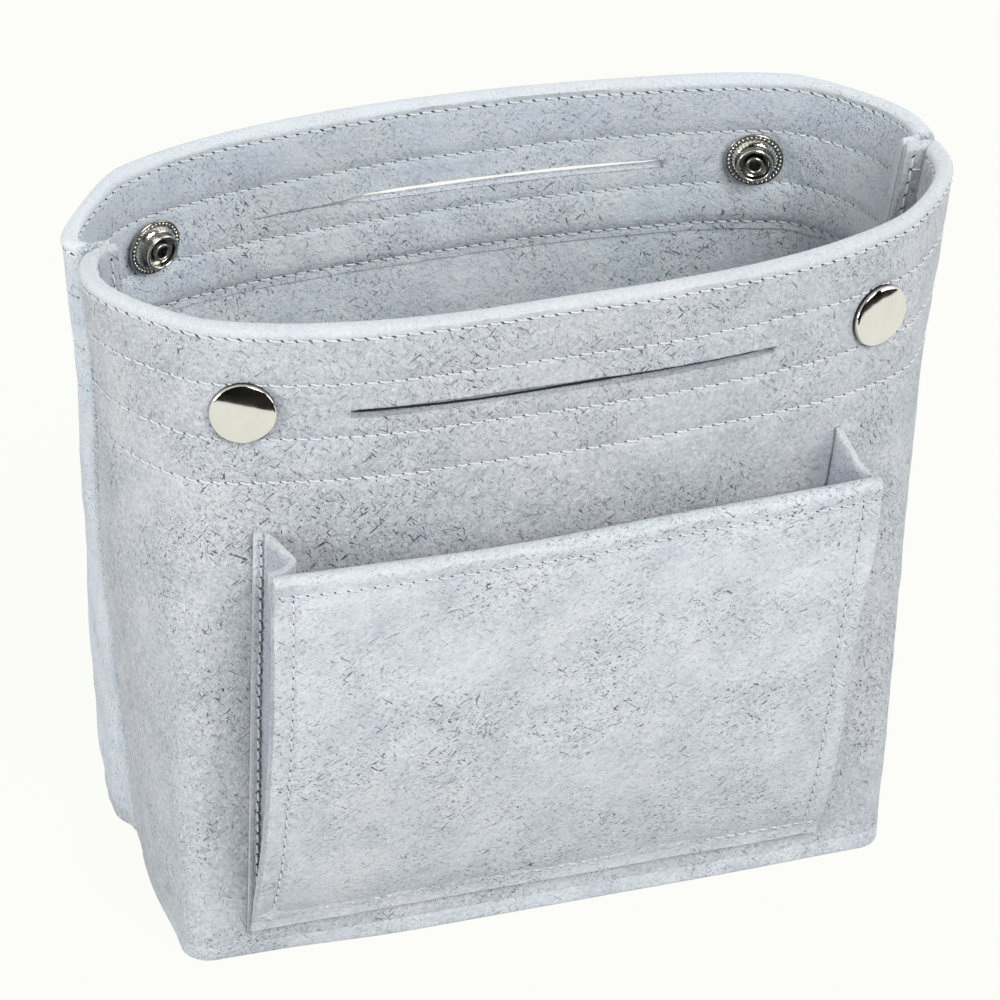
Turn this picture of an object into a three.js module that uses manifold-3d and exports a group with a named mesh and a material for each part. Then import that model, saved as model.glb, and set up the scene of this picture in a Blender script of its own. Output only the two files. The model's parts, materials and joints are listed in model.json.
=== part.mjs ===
// Felt purse organizer insert: an oval-mouthed felt tub with a folded hem, a slit through each long wall,
// a bellows pocket on the front and four ring snaps. X runs along the length, the front faces -Y and Z is
// up. The origin is the middle of the underside. All sizes are in millimetres.
import * as THREE from 'three';
import { mergeVertices } from 'three/addons/utils/BufferGeometryUtils.js';
import Module from 'manifold-3d';

const wasm = await Module();
wasm.setup();

// The tub
const HEIGHT = 162;
const BASE_LENGTH = 164;
const BASE_DEPTH = 78;
const BASE_CORNER = 6; // plan radius of the base's corners
const RIM_LENGTH = 196;
const RIM_DEPTH = 93;
const RIM_END_POWER = 2.64; // how full the oval rim is towards its ends
const RIM_SIDE_POWER = 2.33; // how full it is along its sides
const FELT = 2; // one layer of felt
const FOLD_RADIUS = 4; // outer radius of the fold between the base and the walls
const HEM_DEPTH = 40; // how far the rim's hem is folded down inside
const HEM_BEVEL = 1; // slope of the hem's raw edge, pressed by its stitching
const CLEARANCE = 0.3; // gap between pieces that touch

// The seam up the middle of each end
const SEAM_BEND = 5; // outer radius where a wall turns in to the seam
const SEAM_ALLOWANCE = 5; // straight part of the turned-in edge
const SEAM_PINCH = 3; // how far the seam draws in the end of the base

// The slit in the front and back walls
const SLIT_LENGTH = 92;
const SLIT_HEIGHT = 1.2;
const SLIT_DROP = 21.3; // below the rim

// The pocket
const POCKET_WIDTH = 141;
const POCKET_TOP = 112; // height of its mouth
const POCKET_BOTTOM = 5.5; // height of its lower raw edge
const POCKET_SEAM = 9.5; // height of its lower seam
const POCKET_STANDOFF = 13.2; // how far its mouth stands out from its seam
const POCKET_BELLY = 3; // how early it swells out above the seam
const POCKET_HEM = 9;
const PLEAT_FELT = 1.5;
const PLEAT_BOTTOM = 30; // height at which the pleat has closed flat
const PLEAT_FLANGE = 4; // width of the edge that is sewn to the wall
const PLEAT_DEPTH = 8; // how far the inner fold lies in from the pocket's edge
const PLEAT_FOLD_SHARE = 0.62; // where the inner fold lies between the wall and the pocket's front
const PLEAT_FOLD = 1.6; // width of the inner fold's nose

// The snaps
const SNAP_REACH = 71.5; // from the middle to a snap's axis, along X
const SNAP_DROP = 20.5; // below the rim
const SNAP_MARGIN = 1.5; // felt beyond a cap before the corner fold
const METAL = 0.5; // sheet metal
const CAP_DIAMETER = 15;
const CAP_HEIGHT = 2.6;
const CAP_EDGE = 1.1; // height of the cap's straight edge
const CAP_POWER = 2.6; // how full the cap's dome is
const POST_DIAMETER = 3.8;
const POST_FLANGE = 10; // under the cap
const POST_FLARE = 5; // riveted end
const FLANGE_DIAMETER = 13; // of the stud and of the socket
const STUD_DIAMETER = 7.5; // over the rolled collar
const STUD_HEIGHT = 4;
const SOCKET_DIAMETER = 10.8; // over the raised cup
const SOCKET_HEIGHT = 4.2;
const SPRING_WIRE = 0.8;
const SPRING_GAP = 0.5; // opening of the split ring, in radians

// How finely round forms are cut
const WALL_STEPS = 5;
const HEM_STEPS = 2;
const FLAT_STEPS = 9;
const CORNER_STEPS = 4;
const END_STEPS = 6;
const BEND_STEPS = 4;
const FOLD_STEPS = 3;
const RIM_STEPS = 4;
const POCKET_STEPS = 9;
const PLEAT_STEPS = 5;
const SLIT_STEPS = 3;
const DOME_STEPS = 3;
const TURN_STEPS = 20;
const WIRE_SIDES = 6;

const WALL_FOOT = FOLD_RADIUS + CLEARANCE;
const SEAM_START = SEAM_BEND + CLEARANCE / 2;
const X_AXIS = new THREE.Vector3(1, 0, 0);
const Y_AXIS = new THREE.Vector3(0, 1, 0);
const Z_AXIS = new THREE.Vector3(0, 0, 1);

const felt = new THREE.MeshStandardMaterial({ color: 0xc9ced6, roughness: 0.95, metalness: 0 });
const innerFelt = new THREE.MeshStandardMaterial({ color: 0xbcc3cc, roughness: 0.95, metalness: 0 });
const nickel = new THREE.MeshStandardMaterial({ color: 0xd8d4cb, roughness: 0.15, metalness: 1 });
const darkNickel = new THREE.MeshStandardMaterial({ color: 0x9c988f, roughness: 0.3, metalness: 1 });

// Solids and meshes

function solidOf(geometry) {
  const bare = geometry.clone();
  bare.deleteAttribute('normal');
  bare.deleteAttribute('uv');
  const merged = mergeVertices(bare, 1e-4);
  return new wasm.Manifold(new wasm.Mesh({
    numProp: 3,
    vertProperties: merged.attributes.position.array,
    triVerts: new Uint32Array(merged.index.array),
  }));
}

function geometryOf(solid) {
  const mesh = solid.getMesh();
  const geometry = new THREE.BufferGeometry();
  geometry.setAttribute('position', new THREE.BufferAttribute(mesh.vertProperties, 3));
  geometry.setIndex(new THREE.BufferAttribute(mesh.triVerts, 1));
  geometry.computeVertexNormals();
  return geometry;
}

// The triangles of a flat outline, wound the way that the outline is.
function outlineFaces(outline) {
  const turn = Math.sign(THREE.ShapeUtils.area(outline));
  return THREE.ShapeUtils.triangulateShape(outline, []).map(([a, b, c]) => {
    const area = THREE.ShapeUtils.area([outline[a], outline[b], outline[c]]);
    return area * turn < 0 ? [a, c, b] : [a, b, c];
  });
}

// The triangles of a ring whose second half runs back beside its first half.
function stripFaces(count) {
  const faces = [];
  for (let near = 0, far = count - 1; near + 1 < far; near += 1, far -= 1) {
    faces.push([near, near + 1, far]);
    if (near + 2 < far) faces.push([near + 1, far - 1, far]);
  }
  return faces;
}

// A closed skin over rings of points, capped with the given triangles of the first and the last ring.
function loft(rings, firstFaces, lastFaces = firstFaces) {
  const count = rings[0].length;
  const index = [];
  for (let j = 0; j + 1 < rings.length; j += 1) {
    for (let k = 0; k < count; k += 1) {
      const next = (k + 1) % count;
      const a = j * count + k;
      const b = j * count + next;
      index.push(a, a + count, b + count, a, b + count, b);
    }
  }
  const last = (rings.length - 1) * count;
  firstFaces.forEach(([a, b, c]) => index.push(a, b, c));
  lastFaces.forEach(([a, b, c]) => index.push(last + a, last + c, last + b));
  const geometry = new THREE.BufferGeometry().setFromPoints(rings.flat());
  geometry.setIndex(index);
  geometry.computeVertexNormals();
  return geometry;
}

function mesh(name, geometry, material) {
  const made = new THREE.Mesh(geometry, material.clone());
  made.name = name;
  return made;
}

// A body turned round the Z axis from a profile of [radius, height] pairs.
function turned(profile) {
  const points = profile.map(([r, z]) => new THREE.Vector2(r, z));
  return new THREE.LatheGeometry(points, TURN_STEPS).rotateX(Math.PI / 2);
}

function steps(from, to, count) {
  return Array.from({ length: count + 1 }, (_, i) => from + ((to - from) * i) / count);
}

// The felt's outer face in plan

// One quarter of the rim's oval, from the middle of the front to the right-hand seam.
class RimQuarter extends THREE.Curve {
  getPoint(t, target = new THREE.Vector2()) {
    const angle = (t * Math.PI) / 2;
    const x = (RIM_LENGTH / 2) * Math.sin(angle) ** (2 / RIM_END_POWER);
    const rise = (RIM_DEPTH / 2 - SEAM_START) * Math.abs(Math.cos(angle)) ** (2 / RIM_SIDE_POWER);
    return target.set(x, -SEAM_START - rise);
  }
}

function makeBaseQuarter() {
  const halfLength = BASE_LENGTH / 2;
  const halfDepth = BASE_DEPTH / 2;
  const path = new THREE.Path();
  path.moveTo(0, -halfDepth);
  path.lineTo(halfLength - BASE_CORNER, -halfDepth);
  path.absarc(halfLength - BASE_CORNER, BASE_CORNER - halfDepth, BASE_CORNER, -Math.PI / 2, 0, false);
  path.lineTo(halfLength - SEAM_PINCH, -SEAM_START);
  return path;
}

const rimQuarter = new RimQuarter();
const baseQuarter = makeBaseQuarter();
const quarterLength = baseQuarter.getLength();
const cornerFrom = (BASE_LENGTH / 2 - BASE_CORNER) / quarterLength;
const cornerTo = cornerFrom + ((Math.PI / 2) * BASE_CORNER) / quarterLength;
const stations = [
  ...steps(0, cornerFrom, FLAT_STEPS),
  ...steps(cornerFrom, cornerTo, CORNER_STEPS).slice(1),
  ...steps(cornerTo, 1, END_STEPS).slice(1),
];

// A point of the wall in plan: share 0 is the middle of the front and share 1 the start of the seam's bend.
function wallPlan(share, z) {
  return baseQuarter.getPoint(share).lerp(rimQuarter.getPointAt(share), z / HEIGHT);
}

// The share at which the right-hand front wall is x from the middle.
function shareAt(x, z) {
  let low = 0;
  let high = 1;
  for (let i = 0; i < 40; i += 1) {
    const middle = (low + high) / 2;
    if (wallPlan(middle, z).x < x) low = middle;
    else high = middle;
  }
  return low;
}

function wallY(x, z) {
  return wallPlan(shareAt(x, z), z).y;
}

// The wall, its bend and its turned-in edge in plan, from the middle of the front to the edge's end.
function quarterRow(z) {
  const wall = stations.map((share) => wallPlan(share, z));
  const { x } = wall[wall.length - 1];
  const bend = steps(0, Math.PI / 2, BEND_STEPS).slice(1).map((angle) => new THREE.Vector2(
    x - SEAM_BEND + SEAM_BEND * Math.cos(angle),
    -SEAM_START + SEAM_BEND * Math.sin(angle),
  ));
  const edge = new THREE.Vector2(x - SEAM_BEND - SEAM_ALLOWANCE, -CLEARANCE / 2);
  return [...wall, ...bend, edge];
}

// Moves each point of a plan line to its left by a distance.
function offsetLine(line, distance) {
  return line.map((point, i) => {
    const before = line[Math.max(i - 1, 0)];
    const after = line[Math.min(i + 1, line.length - 1)];
    const along = after.clone().sub(before).normalize();
    return new THREE.Vector2(point.x - along.y * distance, point.y + along.x * distance);
  });
}

// The front felt from the left seam to the right one, at one height and depth inside its outer face.
function feltRow(z, depth) {
  const right = quarterRow(z);
  const left = right.slice(1).reverse().map((p) => new THREE.Vector2(-p.x, p.y));
  return offsetLine([...left, ...right], depth).map((p) => new THREE.Vector3(p.x, p.y, z));
}

// The tub's felt

// The felt's section as [depth, height]: a single layer, doubled by the hem that is rolled over the rim.
function wallSection() {
  const hemFoot = HEIGHT - HEM_DEPTH;
  const single = steps(WALL_FOOT, hemFoot - HEM_BEVEL, WALL_STEPS);
  const double = steps(hemFoot, HEIGHT - FELT, HEM_STEPS);
  const roll = steps(0, Math.PI, RIM_STEPS).slice(1, -1).map((angle) => [
    FELT - FELT * Math.cos(angle),
    HEIGHT - FELT + FELT * Math.sin(angle),
  ]);
  const outer = [...single, ...double].map((z) => [0, z]);
  const inner = [...single.map((z) => [FELT, z]), ...double.map((z) => [2 * FELT, z])];
  return [...outer, ...roll, ...inner.reverse()];
}

function makeFrontFelt() {
  const section = wallSection();
  const rows = section.map(([depth, z]) => feltRow(z, depth));
  const rings = rows[0].map((_, j) => rows.map((row) => row[j]));
  return solidOf(loft(rings, stripFaces(section.length)));
}

// A shape drawn in X and Z, extruded along Y through the front wall and clear of the seams' edges.
function throughFront(shape) {
  const options = { depth: RIM_DEPTH, bevelEnabled: false, curveSegments: SLIT_STEPS };
  const prism = new THREE.ExtrudeGeometry(shape, options).rotateX(Math.PI / 2);
  return solidOf(prism.translate(0, -SEAM_START - 2 * FELT, 0));
}

// Everything between the two corner folds, widened by a margin.
function betweenFolds(margin) {
  const foot = BASE_LENGTH / 2 - BASE_CORNER + margin;
  const head = SNAP_REACH + CAP_DIAMETER / 2 + SNAP_MARGIN + margin;
  return throughFront(new THREE.Shape([
    new THREE.Vector2(-foot, 0),
    new THREE.Vector2(foot, 0),
    new THREE.Vector2(head, HEIGHT),
    new THREE.Vector2(head, HEIGHT + FELT),
    new THREE.Vector2(-head, HEIGHT + FELT),
    new THREE.Vector2(-head, HEIGHT),
  ]));
}

function makeSlitCutter() {
  const middle = HEIGHT - SLIT_DROP;
  const radius = SLIT_HEIGHT / 2;
  const reach = SLIT_LENGTH / 2 - radius;
  const shape = new THREE.Shape();
  shape.absarc(reach, middle, radius, -Math.PI / 2, Math.PI / 2, false);
  shape.absarc(-reach, middle, radius, Math.PI / 2, (3 * Math.PI) / 2, false);
  return throughFront(shape);
}

// A ring of the base's outline, drawn in by an inset, at one height.
function baseRing(inset, z) {
  const right = stations.map((share) => wallPlan(share, 0));
  const front = [...right.slice(1).reverse().map((p) => new THREE.Vector2(-p.x, p.y)), ...right];
  const back = front.map((p) => new THREE.Vector2(-p.x, -p.y));
  const line = [...front, ...back];
  const closed = [line[line.length - 1], ...line, line[0]];
  return offsetLine(closed, inset).slice(1, -1).map((p) => new THREE.Vector3(p.x, p.y, z));
}

// The floor with its rounded folds up to the walls.
function makeBasePanel() {
  const inner = FOLD_RADIUS - FELT;
  const outerFold = steps(0, Math.PI / 2, FOLD_STEPS).map((angle) => [
    FOLD_RADIUS - FOLD_RADIUS * Math.sin(angle),
    FOLD_RADIUS - FOLD_RADIUS * Math.cos(angle),
  ]);
  const innerFold = steps(Math.PI / 2, 0, FOLD_STEPS).map((angle) => [
    FOLD_RADIUS - inner * Math.sin(angle),
    FOLD_RADIUS - inner * Math.cos(angle),
  ]);
  const rings = [...innerFold.reverse(), ...outerFold.reverse()].map(([inset, z]) => baseRing(inset, z));
  return loft(rings, stripFaces(rings[0].length));
}

// The pocket

const pocketSeat = wallY(0, POCKET_SEAM) - CLEARANCE - FELT;

// How far forward the pocket's outer face lies at a height.
function pocketY(z) {
  const rise = THREE.MathUtils.clamp((z - POCKET_SEAM) / (POCKET_TOP - POCKET_SEAM), 0, 1);
  return pocketSeat - POCKET_STANDOFF * (1 - (1 - rise) ** POCKET_BELLY);
}

function makePocketFront() {
  const hemFoot = POCKET_TOP - POCKET_HEM;
  const face = [POCKET_BOTTOM, ...steps(POCKET_SEAM, hemFoot, POCKET_STEPS)];
  const top = pocketY(POCKET_TOP);
  const roll = steps(0, Math.PI, RIM_STEPS).map((angle) => new THREE.Vector2(
    top + FELT - FELT * Math.cos(angle),
    POCKET_TOP - FELT + FELT * Math.sin(angle),
  ));
  const outline = [
    ...face.map((z) => new THREE.Vector2(pocketY(z), z)),
    ...roll,
    new THREE.Vector2(pocketY(hemFoot) + 2 * FELT, hemFoot),
    ...face.reverse().map((z) => new THREE.Vector2(pocketY(z) + FELT, z)),
  ];
  const options = { depth: POCKET_WIDTH, bevelEnabled: false };
  const panel = new THREE.ExtrudeGeometry(new THREE.Shape(outline), options);
  panel.applyMatrix4(new THREE.Matrix4().makeBasis(Y_AXIS, Z_AXIS, X_AXIS));
  return panel.translate(-POCKET_WIDTH / 2, 0, 0);
}

// A closed outline round an open plan line, half the thickness to each side, with mitred corners.
function thickened(line, thickness) {
  const side = (sign) => line.map((point, i) => {
    const normals = [[i - 1, i], [i, i + 1]]
      .filter(([from, to]) => from >= 0 && to < line.length)
      .map(([from, to]) => line[to].clone().sub(line[from]).normalize())
      .map((along) => new THREE.Vector2(-along.y, along.x));
    const first = normals[0];
    const last = normals[normals.length - 1];
    const mitre = first.clone().add(last).divideScalar(1 + first.dot(last));
    return point.clone().addScaledVector(mitre, (sign * thickness) / 2);
  });
  return [...side(1), ...side(-1).reverse()];
}

// The right-hand pleat in plan: flange on the wall, fold inwards, and out again to the pocket's edge.
function pleatOutline(z) {
  const edge = POCKET_WIDTH / 2;
  const root = edge - PLEAT_FLANGE;
  const nose = edge - PLEAT_DEPTH;
  const lift = CLEARANCE + PLEAT_FELT / 2;
  const wall = Math.min(wallY(root, z), wallY(edge, z)) - lift;
  const front = pocketY(z) + 2 * FELT + lift;
  const fold = THREE.MathUtils.lerp(wall, front, PLEAT_FOLD_SHARE);
  return thickened([
    new THREE.Vector2(edge, wallY(edge, z) - lift),
    new THREE.Vector2(root, wall),
    new THREE.Vector2(nose, fold + PLEAT_FOLD / 2),
    new THREE.Vector2(nose, fold - PLEAT_FOLD / 2),
    new THREE.Vector2(edge, front),
  ], PLEAT_FELT);
}

function makePleat() {
  const heights = steps(PLEAT_BOTTOM, POCKET_TOP - FELT, PLEAT_STEPS);
  const outlines = heights.map(pleatOutline);
  const rings = outlines.map((outline, i) => outline.map((p) => new THREE.Vector3(p.x, p.y, heights[i])));
  return loft(rings, outlineFaces(outlines[0]), outlineFaces(outlines[outlines.length - 1]));
}

// The snaps, each along the Z axis, with the felt's outer face at height 0

const snapHeight = HEIGHT - SNAP_DROP;
const snapShare = shareAt(SNAP_REACH, snapHeight);

// The frame of the front right snap: its origin on the felt's outer face and +Z straight out of the felt.
function snapFrame() {
  const at = (share, z) => new THREE.Vector3(...wallPlan(share, z).toArray(), z);
  const origin = at(snapShare, snapHeight);
  const small = 0.01;
  const along = at(snapShare + small, snapHeight).sub(at(snapShare - small, snapHeight)).normalize();
  const up = at(snapShare, snapHeight + 1).sub(origin).normalize();
  const out = along.clone().cross(up).normalize();
  const across = up.clone().cross(out).normalize();
  return new THREE.Matrix4().makeBasis(across, out.clone().cross(across), out).setPosition(origin);
}

// How far the curved felt falls away behind a flat flange's edge.
function feltSag(frame) {
  const inverse = frame.clone().invert();
  const reach = FLANGE_DIAMETER / 2;
  const depths = [-reach, reach].map((side) => {
    const plan = wallPlan(shareAt(SNAP_REACH + side, snapHeight), snapHeight);
    return -new THREE.Vector3(plan.x, plan.y, snapHeight).applyMatrix4(inverse).z;
  });
  return Math.max(...depths);
}

const snapAt = snapFrame();
const seat = -(2 * FELT + feltSag(snapAt) + CLEARANCE);
const postBore = POST_DIAMETER / 2 - METAL;
const holeRadius = POST_DIAMETER / 2 + CLEARANCE;
const flareSeat = seat - METAL - CLEARANCE;

// A dome's profile from its edge to its middle.
function dome(radius, edge, top) {
  return steps(0, Math.PI / 2, DOME_STEPS).map((angle, i) => [
    i === DOME_STEPS ? 0 : radius * Math.cos(angle) ** (2 / CAP_POWER),
    edge + (top - edge) * Math.sin(angle) ** (2 / CAP_POWER),
  ]);
}

// The polished cap: a shallow dome with a straight edge, hollow underneath.
function makeCap() {
  const radius = CAP_DIAMETER / 2;
  const top = CAP_HEIGHT + CLEARANCE;
  const edge = CAP_EDGE + CLEARANCE;
  return turned([
    ...dome(radius - 2 * METAL, edge, top - METAL).reverse(),
    [radius - METAL, CLEARANCE],
    [radius, CLEARANCE],
    ...dome(radius, edge, top),
  ]);
}

// The tube that goes through the felt, with a flange under the cap and a riveted end inside.
function makePost() {
  const flange = POST_FLANGE / 2;
  return turned([
    [postBore, CLEARANCE + METAL],
    [postBore, flareSeat - METAL],
    [POST_FLARE / 2, flareSeat - METAL],
    [POST_FLARE / 2, flareSeat],
    [POST_DIAMETER / 2, flareSeat],
    [POST_DIAMETER / 2, CLEARANCE],
    [flange, CLEARANCE],
    [flange, CLEARANCE + METAL],
    [postBore, CLEARANCE + METAL],
  ]);
}

// Profiles of the inner halves give heights above the seat, which lies on the felt's inner face.
function turnedOnSeat(profile) {
  return turned(profile.map(([r, height]) => [r, seat - height]).reverse());
}

// The stud: a flange with a raised edge, a barrel and a rolled collar round the post's end.
function makeStud() {
  const flange = FLANGE_DIAMETER / 2;
  const collar = STUD_DIAMETER / 2;
  const bore = POST_FLARE / 2 + CLEARANCE;
  const neck = bore + METAL;
  return turnedOnSeat([
    [holeRadius, 0],
    [flange, 0],
    [flange, 2 * METAL],
    [flange - 2 * METAL, 2 * METAL + CLEARANCE],
    [neck + METAL, 2 * METAL],
    [neck, 3 * METAL],
    [neck, STUD_HEIGHT - 3 * METAL],
    [collar, STUD_HEIGHT - 2 * METAL],
    [collar, STUD_HEIGHT - METAL],
    [neck, STUD_HEIGHT],
    [bore, STUD_HEIGHT - METAL],
    [bore, METAL],
    [holeRadius, METAL],
    [holeRadius, 0],
  ]);
}

const mouth = STUD_DIAMETER / 2 + CLEARANCE;
const springRadius = mouth + SPRING_WIRE / 2 - CLEARANCE / 2;
const groove = springRadius + SPRING_WIRE / 2 + CLEARANCE;
const springHeight = SOCKET_HEIGHT - 2 * METAL - CLEARANCE - SPRING_WIRE / 2;

// The socket: a flange and a cup whose lip holds the ring spring.
function makeSocket() {
  const flange = FLANGE_DIAMETER / 2;
  const cup = SOCKET_DIAMETER / 2;
  return turnedOnSeat([
    [holeRadius, 0],
    [flange, 0],
    [flange, 2 * METAL],
    [cup + METAL, 2 * METAL],
    [cup, 3 * METAL],
    [cup, SOCKET_HEIGHT - METAL],
    [cup - METAL, SOCKET_HEIGHT],
    [mouth, SOCKET_HEIGHT],
    [mouth, SOCKET_HEIGHT - METAL],
    [groove, SOCKET_HEIGHT - 2 * METAL],
    [groove, METAL],
    [holeRadius, METAL],
    [holeRadius, 0],
  ]);
}

// The split ring of wire that grips the stud.
class SplitRing extends THREE.Curve {
  getPoint(t, target = new THREE.Vector3()) {
    const angle = SPRING_GAP / 2 + t * (2 * Math.PI - SPRING_GAP);
    return target.set(springRadius * Math.cos(angle), springRadius * Math.sin(angle), seat - springHeight);
  }
}

function makeSpring() {
  const wire = new THREE.Shape(steps(0, 2 * Math.PI, WIRE_SIDES).slice(1).map((angle) => new THREE.Vector2(
    (SPRING_WIRE / 2) * Math.cos(angle),
    (SPRING_WIRE / 2) * Math.sin(angle),
  )));
  return new THREE.ExtrudeGeometry(wire, { steps: TURN_STEPS, extrudePath: new SplitRing() });
}

function makeSnapHole() {
  const hole = new THREE.CylinderGeometry(holeRadius, holeRadius, 2 * CAP_DIAMETER, TURN_STEPS);
  return solidOf(hole.rotateX(Math.PI / 2).applyMatrix4(snapAt));
}

// The assembly

// A group mirrored to one of the four quarters, from the front right one.
function quarter(side, face) {
  const group = new THREE.Group();
  group.scale.set(side === 'left' ? -1 : 1, face === 'back' ? -1 : 1, 1);
  return group;
}

function makeSnap(side, face) {
  const group = quarter(side, face);
  const placed = new THREE.Group();
  placed.applyMatrix4(snapAt);
  const name = `${face}_${side}`;
  placed.add(mesh(`${name}_cap`, makeCap(), nickel), mesh(`${name}_post`, makePost(), darkNickel));
  if (face === 'front') {
    placed.add(mesh(`${name}_socket`, makeSocket(), nickel));
    placed.add(mesh(`${name}_ring_spring`, makeSpring(), darkNickel));
  } else {
    placed.add(mesh(`${name}_stud`, makeStud(), nickel));
  }
  group.add(placed);
  return group;
}

const frontFelt = makeFrontFelt();
const snapHole = makeSnapHole();
const wallPanel = frontFelt
  .intersect(betweenFolds(-CLEARANCE / 2))
  .subtract(makeSlitCutter())
  .subtract(snapHole)
  .subtract(snapHole.mirror([1, 0, 0]));
const sidePieces = frontFelt.subtract(betweenFolds(CLEARANCE / 2));
const rightSide = sidePieces.decompose().find((piece) => piece.boundingBox().min[0] > 0);

const organizer = new THREE.Group();
organizer.add(mesh('base_panel', makeBasePanel(), felt));
for (const face of ['front', 'back']) {
  const wall = quarter('right', face);
  wall.add(mesh(`${face}_panel`, geometryOf(wallPanel), face === 'front' ? felt : innerFelt));
  organizer.add(wall);
  for (const side of ['left', 'right']) {
    const end = quarter(side, face);
    end.add(mesh(`${side}_side_${face}`, geometryOf(rightSide), felt));
    organizer.add(end, makeSnap(side, face));
  }
}
organizer.add(mesh('pocket_front', makePocketFront(), felt));
for (const side of ['left', 'right']) {
  const edge = quarter(side, 'front');
  edge.add(mesh(`pocket_${side}_pleat`, makePleat(), innerFelt));
  organizer.add(edge);
}

export default organizer;
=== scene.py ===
import json
import math

import bmesh
import bpy
import numpy as np
from mathutils import Matrix, Vector

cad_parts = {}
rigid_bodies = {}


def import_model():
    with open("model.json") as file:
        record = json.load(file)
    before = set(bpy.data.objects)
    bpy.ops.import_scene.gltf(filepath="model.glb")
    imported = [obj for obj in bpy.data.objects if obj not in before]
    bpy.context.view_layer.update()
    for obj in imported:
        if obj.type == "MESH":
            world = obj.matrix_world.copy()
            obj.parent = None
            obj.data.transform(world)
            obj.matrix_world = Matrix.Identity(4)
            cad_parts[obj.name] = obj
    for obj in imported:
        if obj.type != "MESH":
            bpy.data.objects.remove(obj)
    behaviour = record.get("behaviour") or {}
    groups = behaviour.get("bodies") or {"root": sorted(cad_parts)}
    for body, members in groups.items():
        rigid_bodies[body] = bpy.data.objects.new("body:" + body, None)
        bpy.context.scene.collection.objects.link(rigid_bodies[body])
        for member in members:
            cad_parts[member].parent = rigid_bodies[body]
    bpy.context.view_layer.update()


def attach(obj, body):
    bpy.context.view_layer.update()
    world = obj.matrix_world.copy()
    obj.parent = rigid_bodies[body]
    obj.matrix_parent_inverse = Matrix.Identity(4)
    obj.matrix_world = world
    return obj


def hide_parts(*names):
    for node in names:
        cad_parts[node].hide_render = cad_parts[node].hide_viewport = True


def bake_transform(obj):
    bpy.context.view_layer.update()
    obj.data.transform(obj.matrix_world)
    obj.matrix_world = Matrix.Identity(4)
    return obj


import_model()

MM = 0.001

# The tub, in millimetres, as in the CAD source
HEIGHT = 162
BASE_HALF_LENGTH = 82
BASE_HALF_DEPTH = 39
BASE_CORNER = 6
RIM_HALF_LENGTH = 98
RIM_HALF_DEPTH = 46.5
RIM_END_POWER = 2.64
RIM_SIDE_POWER = 2.33
FELT = 2
FOLD_RADIUS = 0.9  # pressed tighter than the solid's fold
WALL_FOOT = 4.3
HEM_FOOT = 122
SEAM_BEND = 5
SEAM_PINCH = 3
SEAM_GAP = 0.15
SEAM_START = SEAM_BEND + SEAM_GAP
TURN_RADIUS = 2.2  # the felt's outer face where it turns into a seam
TURN_LEAST = 0.12  # the least radius of its inner face there
TAB_REACH = 7.6  # from an end wall's outer face to the tip of its seam allowance
TAB_BEND = 2.4  # of the left tabs, back at the rim

# Sewing
HALF_STITCHES = 80  # half stitches from the middle of a wall to the seam's bend
STITCH_ROWS = [HEIGHT - drop for drop in (38.0, 27.3, 14.0, 2.8)]
THREAD = 0.2  # radius
SEAM_COLUMN = 1  # of the stitches in a tab, from its tip
SEAM_ROW = (14, 158, 91)  # lowest and highest half stitch, and their count
TACK_LEVEL = 156.5
SLIT_LEVEL = 140.7
SLIT_LIP = 0.45  # width of the painted dark edge along the slit
SLIT_THINNED = 1.3  # how much thinner the felt is pressed there
SLIT_LINES = (0.70, 0.80)  # lines along a cut face, as shares of its depth from the outside
SLIT_ENDS = {"front": (-34, 31), "back": (-31, 35)}  # in half stitches from the middle
SLIT_OPEN = {  # columns, and half the slit's height there: even in front, closed at the left behind
    "front": ((-34, -33, -12, 0, 20, 31), (0.85, 1.0, 1.02, 1.02, 0.88, 0.65)),
    "back": ((-31, -20, -16, -12, -4, 14, 28, 35), (0.05, 0.07, 0.4, 1.08, 1.2, 1.2, 1.1, 0.92)),
}
SLIT_SHADE = {  # painted shade of the gap on the edges (lower and upper outside, upper and lower inside) and on the cut faces' lines, over the dark of the raw cut felt
    "front": ((0.3, 1.0, 0.3, 1.0), (0.45, 1.0)),
    "back": ((0.2, 0.2, 0.25, 0.97), (0.1, 0.1)),
}
ROLL_ANGLES = np.linspace(0, math.pi, 9)[1:-1]  # round a rolled edge, between its two faces

# The pocket
POCKET_HALF_WIDTH = 70.5
POCKET_TOP = 109.4
POCKET_BOTTOM = 8.6
POCKET_SEAM = 9.5
POCKET_HEM_FOOT = POCKET_TOP - 9
POCKET_STANDOFF = 13.2
POCKET_SEAT = -41.74
POCKET_PULL = 1.8  # how far the mouth's corners are drawn back to the wall
POCKET_PULL_FOOT = 70
POCKET_COLUMNS = 96
POCKET_ROWS = 72
POCKET_STITCH_COLUMNS = (3, POCKET_COLUMNS - 3)
POCKET_STITCH_ROWS = (3, POCKET_ROWS - 2)
PLEAT_FELT = 1.5
PLEAT_FOOT = 8
PLEAT_HIGHEST = 119
PLEAT_STEPS = 34  # points along a pleat in plan
PLEAT_LEVELS = 44
PLEAT_TOPS = {  # heights at the keys of a pleat's line, from the flange to the pocket's front
    "left": (112.6, 112.2, 111.4, 108.8, 107.8, 107.5, 107.6, 107.6),
    "right": (116.4, 116.5, 116.6, 116.4, 114.0, 110.4, 108.7, 107.6),
}
FLANGE_AT = 66  # where a pleat meets the wall
FLANGE_POINTS = 71  # half stitches along a flange

# The snaps
SNAP_REACH = 71.5
SNAP_LEVEL = 141.5
CAP_RADIUS = 7.15
SEAT = -5.05  # the felt's inner face on a snap's axis

# Points round a circle
THREAD_SIDES = 6
HOLE_SIDES = 8
BEAD_SIDES = 8
TURNS = 72

# Edges bent more than this are shaded as edges
FELT_SHARP = math.radians(50)
METAL_SHARP = math.radians(38)


# Helpers for meshes

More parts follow.
